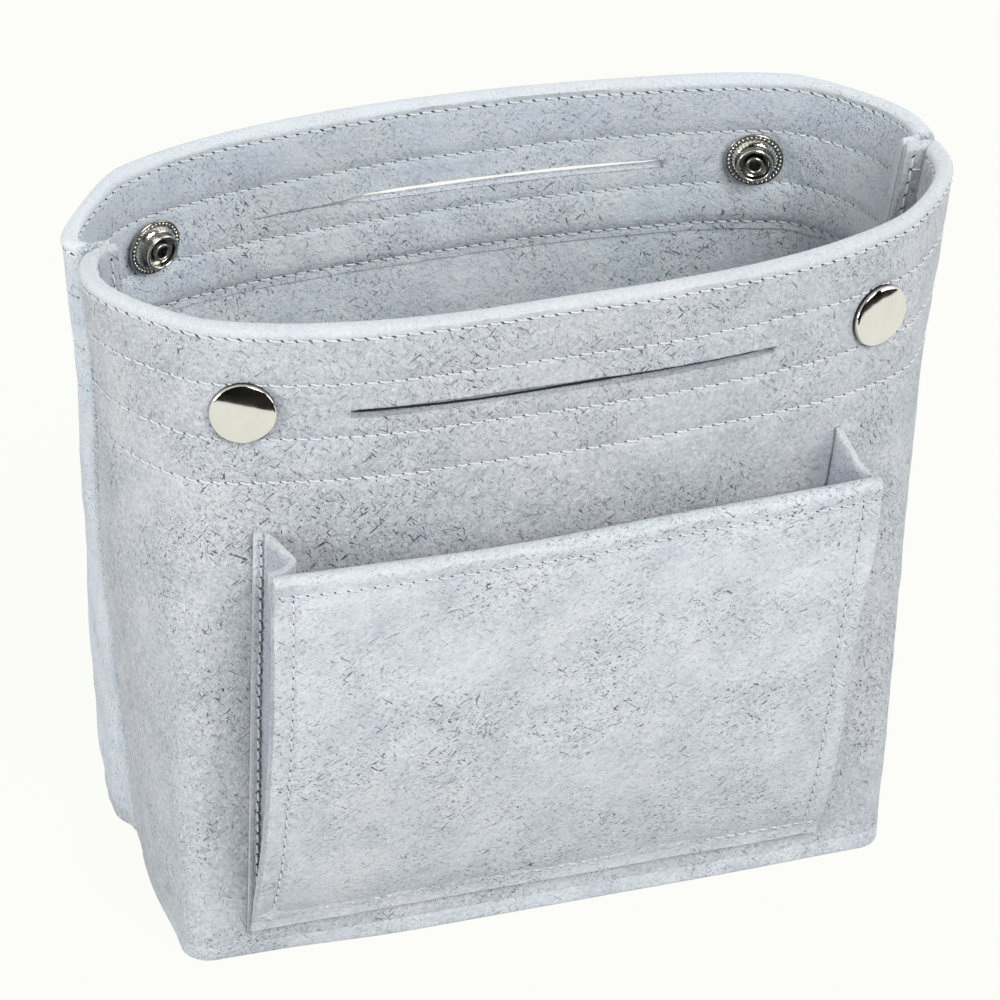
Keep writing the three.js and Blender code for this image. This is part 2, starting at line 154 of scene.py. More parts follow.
def linked(name, data):
    """A new object in the scene."""
    obj = bpy.data.objects.new(name, data)
    bpy.context.collection.objects.link(obj)
    return obj


def add_mesh(name, points, faces, material, sharp=FELT_SHARP, **values):
    """A closed mesh from points in millimetres, with one number per point for each named value."""
    data = bpy.data.meshes.new(name)
    data.from_pydata((np.asarray(points, float) * MM).tolist(), [], faces)
    bm = bmesh.new()
    bm.from_mesh(data)
    bmesh.ops.recalc_face_normals(bm, faces=bm.faces)
    bm.to_mesh(data)
    bm.free()
    data.shade_smooth()
    data.set_sharp_from_angle(angle=sharp)
    for key, numbers in values.items():
        layer = data.attributes.new(key, "FLOAT", "POINT")
        layer.data.foreach_set("value", np.ravel(numbers).astype(np.float32))
    data.materials.append(material)
    return linked(name, data)


def smooth(low, high, value):
    """An even step from 0 at the low value to 1 at the high one."""
    t = np.clip((value - low) / (high - low), 0, 1)
    return t * t * (3 - 2 * t)


def hump(rise, fall, value):
    """1 between a rise and a fall, each given by its start and its end, and 0 outside them."""
    return smooth(*rise, value) * (1 - smooth(*fall, value))


def bell(value, centre, width):
    return np.exp(-((value - centre) / width) ** 2)


def unit(vectors):
    return vectors / np.maximum(np.linalg.norm(vectors, axis=-1), 1e-9)[..., None]


def left_of(along):
    """Unit vectors to the left of runs in plan."""
    along = unit(along)
    return np.stack([-along[..., 1], along[..., 0]], axis=-1)


def around(count):
    """Evenly spaced angles round a circle."""
    return np.arange(count) * 2 * math.pi / count


def arc(centre_r, centre_h, radius, start, stop, count=7):
    """Points of a section along part of a circle, between two angles in degrees."""
    angles = np.radians(np.linspace(start, stop, count))
    return [(centre_r + radius * math.cos(a), centre_h + radius * math.sin(a)) for a in angles]


def along_line(at, marks, points):
    """Points between the points of a line, each of which has its own mark."""
    return np.stack([np.interp(at, marks, values) for values in points.T], axis=-1)


WAVES = 14


def ripples(points, size, seed):
    """A smooth random height about -1 to 1 at each point, with waves about one size long."""
    rng = np.random.default_rng(seed)
    directions = unit(rng.normal(size=(WAVES, 3)))
    pace = rng.uniform(0.6, 1.5, WAVES) * 2 * math.pi / size
    phase = rng.uniform(0, 2 * math.pi, WAVES)
    return np.sin(points @ (directions * pace[:, None]).T + phase).sum(axis=-1) / WAVES ** 0.5


def grid_ids(rows, columns):
    return np.arange(rows * columns).reshape(rows, columns)


def quads(ids, closed=False, looped=False):
    """Faces of a grid of point numbers, closed from its last column to its first, looped from its last row."""
    ids = np.asarray(ids)
    if closed:
        ids = np.concatenate([ids, ids[:, :1]], axis=1)
    if looped:
        ids = np.concatenate([ids, ids[:1]])
    corners = ids[:-1, :-1], ids[:-1, 1:], ids[1:, 1:], ids[1:, :-1]
    return [tuple(face) for face in np.stack(corners, axis=-1).reshape(-1, 4).tolist()]


def tube_faces(ids):
    """Faces between rings of point numbers, with a cap on the first ring and the last."""
    return quads(ids, closed=True) + [tuple(ids[0].tolist()), tuple(ids[-1].tolist())]


def strip(ids):
    """Triangles across a ring of points whose second half runs back beside its first half."""
    faces = []
    near, far = 0, len(ids) - 1
    while near + 1 < far:
        faces.append((ids[near], ids[near + 1], ids[far]))
        if near + 2 < far:
            faces.append((ids[near + 1], ids[far - 1], ids[far]))
        near += 1
        far -= 1
    return faces


def end_strips(ids):
    """Triangles that close a looped grid at its first column and its last."""
    return strip(ids[:, 0].tolist()) + strip(ids[:, -1].tolist())


def grid_normals(grid, inward):
    """Unit normals of a grid of points, turned away from a direction."""
    normal = unit(np.cross(np.gradient(grid, axis=1), np.gradient(grid, axis=0)))
    return -normal * np.sign((normal * inward).sum(axis=-1))[..., None]


# The felt's outer face in plan

def measured(points):
    """Points of a line in plan, and how far along it each is, from 0 to 1."""
    steps = np.linalg.norm(np.diff(points, axis=0), axis=1)
    along = np.concatenate([[0], np.cumsum(steps)])
    return points, along / along[-1]


def at_share(line, share):
    points, along = line
    return along_line(share, along, points)


def rim_quarter():
    angle = np.linspace(0, math.pi / 2, 3000)
    x = RIM_HALF_LENGTH * np.sin(angle) ** (2 / RIM_END_POWER)
    y = (RIM_HALF_DEPTH - SEAM_START) * np.abs(np.cos(angle)) ** (2 / RIM_SIDE_POWER)
    return measured(np.stack([x, -SEAM_START - y], axis=1))


def base_quarter():
    turn = np.linspace(-math.pi / 2, 0, 60)
    centre = np.array([BASE_HALF_LENGTH - BASE_CORNER, BASE_CORNER - BASE_HALF_DEPTH])
    corner = centre + BASE_CORNER * np.stack([np.cos(turn), np.sin(turn)], axis=1)
    ends = [[0, -BASE_HALF_DEPTH]], [[BASE_HALF_LENGTH - SEAM_PINCH, -SEAM_START]]
    return measured(np.concatenate([ends[0], corner, ends[1]]))


RIM = rim_quarter()
BASE = base_quarter()


def plan(share, z):
    """Points of the right-hand front face, a share of the way from its middle to its end."""
    rise = (z / HEIGHT)[..., None]
    return at_share(BASE, share) * (1 - rise) + at_share(RIM, share) * rise


def seam_line(end, past, depth):
    """Points past a wall's end: a straight lead up to 1, a tight turn up to 2, and up to 3 the tab in the tub."""
    radius = np.maximum(TURN_RADIUS - depth, TURN_LEAST)
    centre_x = end[..., 0] - depth - radius
    centre_y = -SEAM_GAP - depth - radius
    turn = np.clip(past - 1, 0, 1) * math.pi / 2
    x = centre_x + radius * np.cos(turn)
    y = centre_y + radius * np.sin(turn)
    y = y + (end[..., 1] - centre_y) * (1 - np.clip(past, 0, 1))
    x = x + (end[..., 0] - TAB_REACH - x) * np.clip(past - 2, 0, 1)
    return np.stack([x, y], axis=-1)


def share_at(x, z):
    shares = np.linspace(0, 1, 4001)
    found = plan(shares, np.full_like(shares, z))[:, 0]
    return float(np.interp(x, found, shares))


def wall_y(x, z):
    share = np.array([share_at(abs(x), z)])
    return float(plan(share, np.array([z], float))[0, 1])


def felt_columns():
    """Share, step past the wall's end and side of each column from the left seam to the right one."""
    past = np.array([0.5, 1.0, 1.25, 1.5, 1.75, 2.0, 2.33, 2.67, 3.0])
    share = np.arange(-HALF_STITCHES, HALF_STITCHES + 1) / HALF_STITCHES
    ends = np.ones(len(past))
    return (
        np.concatenate([ends, np.abs(share), ends]),
        np.concatenate([past[::-1], np.zeros(len(share)), past]),
        np.concatenate([-ends, np.where(share < 0, -1, 1), ends]),
    )


SHARE, PAST, SIDE = felt_columns()
COLUMN = np.arange(len(SHARE)) - len(SHARE) // 2  # in half stitches from the middle
MAIN = np.flatnonzero(PAST == 0)  # columns of the wall itself
ENDS = np.flatnonzero(PAST > 0)  # columns of its seams


def snap_frame():
    """The front right snap's axes and origin, with +Z straight out of the felt."""
    share = share_at(SNAP_REACH, SNAP_LEVEL)

    def at(s, z):
        point = plan(np.array([s]), np.array([z], float))[0]
        return Vector((point[0], point[1], z))

    origin = at(share, SNAP_LEVEL)
    along = (at(share + 0.01, SNAP_LEVEL) - at(share - 0.01, SNAP_LEVEL)).normalized()
    up = (at(share, SNAP_LEVEL + 1) - origin).normalized()
    out = along.cross(up).normalized()
    across = up.cross(out).normalized()
    axes = Matrix((across, out.cross(across), out)).transposed().to_4x4()
    return Matrix.Translation(origin) @ axes


SNAP = snap_frame()


# Materials

class Nodes:
    """A node tree, with short calls for the nodes in use here."""

    def __init__(self, tree):
        self.tree = tree

    def node(self, kind, inputs, **settings):
        made = self.tree.nodes.new(f"ShaderNode{kind}")
        for key, value in settings.items():
            setattr(made, key, value)
        for key, value in inputs.items():
            self.join(value, made.inputs[key])
        return made

    def join(self, value, socket):
        if isinstance(value, bpy.types.NodeSocket):
            self.tree.links.new(value, socket)
        else:
            socket.default_value = value

    def math(self, operation, a, b=0.0):
        return self.node("Math", {0: a, 1: b}, operation=operation).outputs[0]

    def times(self, a, b):
        return self.math("MULTIPLY", a, b)

    def most(self, a, b):
        return self.math("MAXIMUM", a, b)

    def seen_directly(self):
        """1 for rays from the camera, mirrors and glass, and 0 for the light that falls on surfaces."""
        path = self.node("LightPath", {}).outputs
        return self.most(self.most(path["Is Camera Ray"], path["Is Glossy Ray"]), path["Is Transmission Ray"])

    def end(self, factor, first, second, output):
        """Mixes two shaders into the tree's output."""
        mix = self.node("MixShader", {0: factor, 1: first.outputs[0], 2: second.outputs[0]})
        self.join(mix.outputs[0], self.tree.nodes[output].inputs["Surface"])


class Paint(Nodes):
    """A new material and its node tree."""

    def __init__(self, name):
        self.material = bpy.data.materials.new(name)
        self.material.use_nodes = True
        super().__init__(self.material.node_tree)
        self.shader = self.tree.nodes["Principled BSDF"]

    def set(self, **sockets):
        """Sets or links the shader's sockets."""
        for key, value in sockets.items():
            self.join(value, self.shader.inputs[key.replace("_", " ")])

    def place(self):
        return self.node("TexCoord", {}).outputs["Object"]

    def shifted(self, offset):
        inputs = {"Vector": self.place(), "Location": offset}
        return self.node("Mapping", inputs).outputs["Vector"]

    def noise(self, scale, detail=2.0, distortion=0.0, offset=(0, 0, 0)):
        inputs = {"Vector": self.shifted(offset), "Scale": scale, "Detail": detail, "Distortion": distortion}
        return self.node("TexNoise", inputs).outputs["Fac"]

    def band(self, value, low, high, to_low=0.0, to_high=1.0):
        inputs = {"Value": value, "From Min": low, "From Max": high, "To Min": to_low, "To Max": to_high}
        return self.node("MapRange", inputs, clamp=True).outputs["Result"]

    def ramp(self, value, *stops):
        made = self.node("ValToRGB", {"Fac": value})
        elements = made.color_ramp.elements
        while len(elements) < len(stops):
            elements.new(0.5)
        for element, (position, colour) in zip(elements, stops):
            element.position = position
            element.color = (*colour, 1)
        return made.outputs["Color"]

    def mix(self, factor, a, b, kind="MIX"):
        made = self.node("Mix", {}, data_type="RGBA", blend_type=kind)
        self.join(factor, made.inputs[0])
        for socket, value in ((made.inputs[6], a), (made.inputs[7], b)):
            self.join(value if isinstance(value, bpy.types.NodeSocket) else (*value, 1), socket)
        return made.outputs[2]

    def attribute(self, name):
        return self.node("Attribute", {}, attribute_name=name).outputs["Fac"]

    def bump(self, height, distance, strength=1.0):
        inputs = {"Height": height, "Distance": distance, "Strength": strength}
        made = self.node("Bump", inputs)
        self.set(Normal=made.outputs["Normal"])


def strokes(paint, length, width, turn, keep, offset):
    """Short, slightly bent fibres that lie one way, as patches of stretched noise: 1 on a fibre and 0 off it."""
    inputs = {
        "Vector": paint.place(),
        "Location": offset,
        "Rotation": [math.radians(angle) for angle in turn],
        "Scale": (length, width, width),
    }
    place = paint.node("Mapping", inputs, vector_type="TEXTURE").outputs["Vector"]
    inputs = {"Vector": place, "Scale": 1.0, "Detail": 1.0, "Distortion": 0.7}
    patches = paint.node("TexNoise", inputs).outputs["Fac"]
    return paint.band(patches, keep, keep + 0.03)


def curls(paint, scale, width, keep, offset):
    """Long thin curly fibres, here and there: 1 on a fibre and 0 off it."""
    waves = paint.noise(scale, 0.0, 0.8, offset)
    line = paint.math("ABSOLUTE", paint.math("SUBTRACT", waves, 0.5))
    line = paint.band(line, width * 0.4, width, 1.0, 0.0)
    pieces = paint.noise(scale * 1.3, 1.0, 0.4, (offset[1], offset[2] + 0.3, offset[0]))
    return paint.times(line, paint.band(pieces, keep, keep + 0.05))


FELT_SHADES = ((0.498, 0.526, 0.566), (0.575, 0.597, 0.628), (0.645, 0.660, 0.676))
DARK_FIBRE = (0.055, 0.066, 0.094)
FIBRE_TURNS = {  # degrees about each axis, for the four layers of dark fibres
    "steep": ((0, 50, 8), (0, 28, -12), (0, 74, 60), (0, -42, -8)),
    "level": ((0, -20, 8), (0, -38, -12), (0, 6, 40), (0, 36, -8)),
}


def felt_material(name, tone, flecks, lie):
    """Pressed grey wool: soft clouds, fine lint, and pale, faint and dark fibres.

    Three values of the mesh change it: the pale rim of worn edges, with painted light on some raw edges and on the
    pocket's sewn-down foot; painted shade in folds, on the tabs, on the back's inner hem band and beside the right
    pleat; and the dark of raw cut felt together with painted shade in creases, seam grooves and the slit's gap.
    """
    paint = Paint(name)
    dark, middle, light = (tuple(c * t for c, t in zip(shade, tone)) for shade in FELT_SHADES)
    colour = paint.ramp(paint.noise(95, 4.0), (0.3, dark), (0.5, middle), (0.7, light))
    tint = paint.noise(17, 2.0, 0.0, (0.7, 0.2, 0.5))
    tint = paint.ramp(tint, (0.35, (0.955, 0.985, 1.0)), (0.5, (0.985, 0.99, 1.0)), (0.65, (1.0, 0.99, 0.975)))
    colour = paint.mix(0.8, colour, tint, "MULTIPLY")
    speckle = paint.noise(900, 3.0)
    colour = paint.mix(paint.band(speckle, 0.38, 0.68, 0.0, 0.45), colour, (0.735, 0.748, 0.762))
    dense = paint.band(paint.noise(60, 2.0, 0.0, (0.2, 0.9, 0.4)), 0.32, 0.66, 0.3, 1.0)
    pale = strokes(paint, 0.0026, 0.0004, (0, -40, 20), 0.64, (0.81, 0.15, 0.43))
    colour = paint.mix(paint.times(pale, 0.3), colour, (0.800, 0.808, 0.815))
    faint = curls(paint, 120, 0.0080, 0.50, (0.4, 0.9, 0.6))
    strong = curls(paint, 150, 0.0060, 0.58, (0.9, 0.2, 0.7))
    for i, turn in enumerate(FIBRE_TURNS[lie]):
        faint = paint.most(faint, strokes(paint, 0.0022, 0.00032, turn, 0.63, (0.11 * i, 0.37 * i, 0.23 * i)))
        offset = (0.53 * i, 0.19 * i, 0.31 * i + 0.4)
        strong = paint.most(strong, strokes(paint, 0.0032, 0.00040, turn, 0.682, offset))
    specks = paint.band(paint.noise(1250, 1.0, 0.0, (0.5, 0.1, 0.3)), 0.70, 0.75)
    strong = paint.most(strong, paint.times(specks, 0.8))
    faint = paint.times(paint.times(faint, dense), 0.30 * flecks)
    strong = paint.times(paint.times(strong, dense), flecks)
    colour = paint.mix(paint.most(faint, strong), colour, DARK_FIBRE)
    # Pale worn edges, and painted light on some raw edges and on the pocket's sewn-down foot.
    colour = paint.mix(paint.times(paint.attribute("rim"), 0.6), colour, (0.715, 0.738, 0.760))
    # Painted shade: darker and bluer in folds, on the tabs, on the back's inner hem band and beside the right pleat.
    colour = paint.mix(paint.times(paint.attribute("painted_shade"), 0.75), colour, (0.300, 0.338, 0.392))
    crumbs = paint.band(paint.noise(1700, 2.0, 0.0, (0.3, 0.6, 0.1)), 0.40, 0.58, 0.12, 1.0)
    edge_darkness = paint.attribute("cut")
    # Dark raw cut felt with crumbs, together with painted shade in creases, seam grooves and the slit's gap.
    dark_share = paint.most(paint.times(edge_darkness, crumbs), paint.band(edge_darkness, 0.75, 1.0, 0.0, 0.9))
    colour = paint.mix(dark_share, colour, (0.085, 0.092, 0.120))
    # Painted shadow: near black where the value reaches 1, deep in the slit's gap and on a pleat's end face.
    colour = paint.mix(paint.band(edge_darkness, 0.97, 1.0), colour, (0.016, 0.017, 0.021))
    pile = paint.math("ADD", paint.noise(1500, 2.0), paint.times(paint.noise(420, 2.0), 1.6))
    paint.bump(pile, 0.00022)
    paint.set(Base_Color=colour, Roughness=1.0, Specular_IOR_Level=0.12, Sheen_Weight=0.22, Sheen_Roughness=0.55)
    return paint.material


def thread_material(name, tone):
    paint = Paint(name)
    twist = paint.noise(2600, 2.0)
    dark, light = (tuple(c * tone for c in shade) for shade in ((0.66, 0.675, 0.70), (0.86, 0.866, 0.872)))
    paint.set(Base_Color=paint.ramp(twist, (0.35, dark), (0.65, light)))
    paint.bump(twist, 0.0001)
    paint.set(Roughness=0.7, Specular_IOR_Level=0.25, Sheen_Weight=0.1)
    return paint.material


# The needle holes are dark only by shade: this dark material on small lenses is painted shade.
def hole_material():
    paint = Paint("needle_hole_shade")
    speckle = paint.ramp(paint.noise(1800, 2.0), (0.3, (0.03, 0.034, 0.045)), (0.7, (0.10, 0.11, 0.135)))
    paint.set(Base_Color=speckle, Roughness=1.0, Specular_IOR_Level=0.0)
    return paint.material


def nickel_material(name, colour, rough):
    """Plated metal: polished where the value wear is 1, and near black where the other value is 1, painted shade and
    tarnish at the caps' edges and in the studs' recesses.
    """
    paint = Paint(name)
    smear = paint.noise(220, 4.0, 0.6)
    scratch = paint.noise(1400, 3.0, 2.0)
    plate = paint.ramp(smear, (0.3, tuple(c * 0.94 for c in colour)), (0.65, colour))
    plate = paint.mix(paint.attribute("wear"), plate, (0.83, 0.81, 0.75))
    plate = paint.mix(paint.attribute("grime"), plate, (0.045, 0.042, 0.040))
    paint.set(Base_Color=plate, Roughness=paint.band(smear, 0.3, 0.7, rough, rough * 1.8), Metallic=1.0)
    paint.bump(scratch, 0.00001, 0.12)
    return paint.material


FELT_MAT = felt_material("grey_felt", (0.95, 0.95, 0.95), 1.0, "level")
# Tones painted for light: the front wall darker where the key light falls strongly, the back wall lighter and bluer so
# that the shaded inside of the tub reads lighter.
WALL_MATS = {
    "front": felt_material("front_wall_felt", (0.82, 0.82, 0.82), 1.12, "steep"),
    "back": felt_material("back_wall_felt", (1.10, 1.14, 1.165), 1.05, "steep"),
}
# The pocket lighter than the front wall: partly its own colour, partly painted light.
POCKET_MAT = felt_material("pocket_felt", (1.025, 1.025, 1.025), 1.0, "level")
THREAD_MAT = thread_material("thread", 0.92)
POCKET_THREAD_MAT = thread_material("pocket_thread", 0.84)
HOLE_MAT = hole_material()
NICKEL = nickel_material("polished_nickel", (0.775, 0.765, 0.705), 0.06)
DARK_NICKEL = nickel_material("dark_nickel", (0.42, 0.40, 0.36), 0.13)
DULL_NICKEL = nickel_material("dull_nickel", (0.46, 0.44, 0.41), 0.2)


# Sewing thread

def tubes(paths, normals, radius):
    """Round threads along paths of points, closed at both ends."""
    paths = np.asarray(paths, float)
    along = unit(np.gradient(paths, axis=1))
    across = unit(np.cross(along, np.asarray(normals, float)))[:, :, None]
    lift = np.cross(across, along[:, :, None])
    turn = around(THREAD_SIDES)[:, None]
    rings = paths[:, :, None] + radius * (across * np.cos(turn) + lift * np.sin(turn))
    ids = np.arange(rings.size // 3).reshape(rings.shape[:3])
    return rings.reshape(-1, 3), [face for thread in ids for face in tube_faces(thread)]


def stitch_paths(line, normal, slant):
    """One path over the felt for each stitch of a row whose holes are at every second point."""
    first, middle, last = line[0:-2:2], line[1:-1:2], line[2::2]
    n0, n1, n2 = normal[0:-2:2], normal[1:-1:2], normal[2::2]
    paths = np.stack([
        first - 0.35 * n0 + slant,
        first * 0.70 + middle * 0.30 + 0.06 * n0 + slant * 0.7,
        middle + 0.20 * n1,
        last * 0.70 + middle * 0.30 + 0.06 * n2 - slant * 0.7,
        last - 0.35 * n2 - slant,
    ], axis=1)
    normals = np.stack([n0, n0, n1, n2, n2], axis=1)
    return paths, normals


def hole_shapes(points, normals, along, seed):
    """A small dark lens of painted shade in each needle hole, drawn out along the row and aslant."""
    rng = np.random.default_rng(seed)
    turn = around(HOLE_SIDES)[:, None]
    shapes, faces = [], []
    for point, normal, run in zip(points, normals, along):
        up = unit(np.cross(normal, run))
        lean = rng.uniform(0.25, 0.6)
        long, tall = rng.uniform(0.5, 0.9), rng.uniform(0.19, 0.30)
        axis = np.cross(up, normal) * math.cos(lean) - up * math.sin(lean)
        ring = point + 0.05 * normal + np.cos(turn) * axis * long + np.sin(turn) * up * tall
        first = len(shapes) * (HOLE_SIDES + 2)
        shapes.append(np.concatenate([ring, [point + 0.17 * normal, point - 0.3 * normal]]))
        top, bottom = first + HOLE_SIDES, first + HOLE_SIDES + 1
        for k in range(HOLE_SIDES):
            here, after = first + k, first + (k + 1) % HOLE_SIDES
            faces += [(here, after, top), (after, here, bottom)]
    return np.concatenate(shapes), faces


def sew(name, rows, place, seed, material=THREAD_MAT):
    """Thread, and dark lenses of painted shade in the needle holes, for rows of (points, normals, slant), moved by one
    call on each piece.
    """
    rows = [(line, np.broadcast_to(normal, line.shape), slant) for line, normal, slant in rows]
    paths, normals = zip(*(stitch_paths(line, normal, np.asarray(slant)) for line, normal, slant in rows))
    holes = zip(*((line[::2], normal[::2], np.gradient(line, axis=0)[::2]) for line, normal, _ in rows))
    rng = np.random.default_rng(seed)
    paths = np.concatenate(paths)
    paths += rng.normal(scale=0.05, size=(len(paths), 1, 3))
    thread = add_mesh(f"{name}_thread", *tubes(paths, np.concatenate(normals), THREAD), material)
    shapes = hole_shapes(*(np.concatenate(part) for part in holes), seed)
    dots = add_mesh(f"{name}_needle_holes", *shapes, HOLE_MAT)
    for piece in (thread, dots):
        place(piece)
    return [thread, dots]


# The walls

def folded(levels, top, inner):
    """Height, depth and side of the rows up an outer face, over a rolled edge and down the inner face."""
    count = len(levels)
    return (
        np.concatenate([levels, top - FELT + FELT * np.sin(ROLL_ANGLES), levels[::-1]]),
        np.concatenate([np.zeros(count), FELT - FELT * np.cos(ROLL_ANGLES), inner[::-1]]),
        np.concatenate([np.ones(count), np.zeros(len(ROLL_ANGLES)), -np.ones(count)]),
    )


def filled(anchors, widest):
    """Levels through all the anchors, with none further apart than the widest step."""
    levels = []
    for low, high in zip(anchors, anchors[1:]):
        count = max(1, math.ceil((high - low) / widest - 1e-6))
        levels.extend(np.linspace(low, high, count + 1)[:-1])
    return levels + [anchors[-1]]


def wall_levels():
    anchors = {WALL_FOOT, WALL_FOOT + 1.2, HEM_FOOT - 0.12, HEM_FOOT, HEIGHT - FELT}
    anchors.update((SLIT_LEVEL - SLIT_LIP, SLIT_LEVEL + SLIT_LIP))
    for row in STITCH_ROWS:
        anchors.update(row + step for step in (-1.6, -0.8, -0.35, 0, 0.35, 0.8))
    below = sorted(a for a in anchors if a < SLIT_LEVEL) + [SLIT_LEVEL]
    above = [SLIT_LEVEL] + sorted(a for a in anchors if a > SLIT_LEVEL)
    return np.array(filled(below, 2.4) + filled(above, 2.4))


def opening(column, face):
    low, high = SLIT_ENDS[face]
    return np.where((column >= low) & (column <= high), np.interp(column, *SLIT_OPEN[face]), 0.0)


class Wall:
    """The felt of the front or the back from seam to seam, with its rolled hem, stitch grooves and slit."""

    def __init__(self, face, seed):
        self.face = face
        self.seed = seed
        self.out = 1 if face == "front" else -1
        self.levels = wall_levels()
        hem = 0.3 + 0.7 * smooth(HEM_FOOT, HEM_FOOT + 5, self.levels)
        inner = np.where(self.levels >= HEM_FOOT - 0.01, FELT + FELT * hem, FELT)
        self.z, self.depth, self.outward = folded(self.levels, HEIGHT, inner)
        self.rows = len(self.z)
        low = int(np.argmin(np.abs(self.levels - SLIT_LEVEL)))
        self.slit_rows = [low, low + 1, self.rows - 2 - low, self.rows - 1 - low]
        self.grid = self.shape()

    def shape(self):
        z = np.repeat(self.z[:, None], len(SHARE), axis=1)
        face = plan(np.repeat(SHARE[None], self.rows, 0), z)
        corner = face[:, ENDS].copy()
        face[:, ENDS] = seam_line(corner, PAST[ENDS], 0.0)
        face[..., 0] *= SIDE
        inward = left_of(np.gradient(face[:, MAIN], axis=1))
        place = np.concatenate([face, z[..., None]], axis=-1)
        loose = 1 - smooth(0.5, 1.5, PAST)
        depth = self.depth[:, None] - self.outward[:, None] * self.relief(place) * loose
        depth = depth - self.thinned(z)
        roll = (self.outward == 0)[:, None]
        swell = (0.12 + 0.05 * ripples(place, 30, self.seed + 5)) * loose
        depth = np.where(roll, FELT + (depth - FELT) * (1 + swell / FELT), depth)
        face[:, MAIN] += inward * depth[:, MAIN, None]
        tapered = depth[:, ENDS] * (1 - 0.45 * smooth(1.5, 2.4, PAST[ENDS]))
        face[:, ENDS] = seam_line(corner, PAST[ENDS], tapered)
        face[:, ENDS, 0] *= SIDE[ENDS]
        grid = np.concatenate([face, z[..., None]], axis=-1)
        grid[..., 2] = self.lifted(grid, z, swell * roll)
        grid[..., 1] *= self.out
        grid[..., 1] += TAB_BEND * smooth(1.9, 3.0, PAST) * (SIDE < 0) * (z / HEIGHT) ** 3
        return settled(grid)

    def thinned(self, z):
        """How much thinner the two layers are pressed along the slit, on the face turned from the camera."""
        low, high = SLIT_ENDS[self.face]
        near = hump((low - 3, low + 3), (high - 3, high + 3), COLUMN)
        pressed = (self.outward == -self.out)[:, None] * near[None] * SLIT_THINNED
        return self.out * pressed * bell(z, SLIT_LEVEL, 2.6)

    def relief(self, place):
        """How far the felt stands out of its plain face: grooves at the stitches, soft swells between."""
        z = place[..., 2]
        out = 0.28 * ripples(place, 46, self.seed) + 0.07 * ripples(place, 7, self.seed + 1)
        out = out + 0.035 * ripples(place, 3.2, self.seed + 2)
        for row in STITCH_ROWS:
            pull = 0.5 if row == STITCH_ROWS[-1] else 1.0
            hole = np.where(COLUMN % 2 == 0, 0.46, 0.2) * pull
            out = out - hole * bell(z, row, 0.62) - 0.07 * pull ** 2 * bell(z, row, 2.2)
        for low, high in zip(STITCH_ROWS, STITCH_ROWS[1:]):
            t = np.clip((z - low) / (high - low), 0, 1)
            out = out + 0.07 * np.sin(math.pi * t) ** 0.8
        pressed = np.hypot(np.abs(place[..., 0]) - SNAP_REACH, z - SNAP_LEVEL)
        out = out - 0.6 * np.exp(-(pressed / 8.8) ** 4)
        return out * smooth(WALL_FOOT, WALL_FOOT + 6, z)

    def lifted(self, grid, z, swell):
        """Heights with the slit opened, the rim's waves and swells, and the tips of the seam tabs drawn down."""
        gap = opening(COLUMN, self.face)[None]
        off = np.abs(z - SLIT_LEVEL)
        side = np.sign(z - SLIT_LEVEL)
        low_out, high_out, high_in, low_in = self.slit_rows
        side[[low_out, low_in]] = -1
        side[[high_out, high_in]] = 1
        pull = np.clip(1 - off / 7, 0, 1) ** 2
        wave = 0.2 * ripples(grid * np.array([1, 1, 0]), 80, self.seed + 3)
        if self.face == "back":
            wave = wave - 1.1 * bell(grid[..., 0], 45, 34)
        tip = 0.6 * smooth(2.4, 3.0, PAST) * smooth(HEIGHT - 4, HEIGHT, z)
        return z + side * gap * pull + wave * (z / HEIGHT) ** 6 + swell * 0.6 - tip

    def ids(self):
        """Point numbers, the same above and below the slit's level beyond its ends; and the slit's columns."""
        ids = grid_ids(self.rows, len(SHARE))
        low, high = SLIT_ENDS[self.face]
        outside = (COLUMN < low) | (COLUMN > high)
        low_out, high_out, high_in, low_in = self.slit_rows
        ids[high_out, outside] = ids[low_out, outside]
        ids[high_in, outside] = ids[low_in, outside]
        return ids, ~outside

    def faces(self, ids, inside):
        shown = np.ones((self.rows, len(SHARE) - 1), bool)
        low_out, _, high_in, _ = self.slit_rows
        shown[[low_out, high_in]] = ~(inside[:-1] & inside[1:])
        faces = [list(dict.fromkeys(face)) for face, show in zip(quads(ids, looped=True), shown.ravel()) if show]
        return [face for face in faces if len(face) > 2] + end_strips(ids)

    def slit(self, ids, inside):
        """The slit's cut faces, with a groove between the two layers of felt."""
        low_out, high_out, high_in, low_in = self.slit_rows
        columns = np.flatnonzero(inside)
        points, faces, lines = [], [], []
        for row_out, row_in, sink in ((low_out, low_in, -0.25), (high_out, high_in, 0.25)):
            line = [ids[row_out, columns]]
            for share in SLIT_LINES:
                line.append(ids.size + len(points) + np.arange(len(columns)))
                centre = self.grid[row_out, columns] * (1 - share) + self.grid[row_in, columns] * share
                points.extend(centre + np.array([0, 0, sink]))
            line.append(ids[row_in, columns])
            faces.extend(quads(line))
            lines.append(line)
        for end in (0, -1):
            faces.extend(quads(np.array(lines)[:, :, end].T))
        return points, faces

    def looks(self, inside):
        """How far each point is a pale worn rim, dark raw cut felt with painted shade in creases, seam grooves and the
        slit, and painted shade on the tabs, the back's inner hem band and beside the right pleat.
        """
        inner, outer = (self.outward < 0)[:, None], (self.depth < 1.6)[:, None]
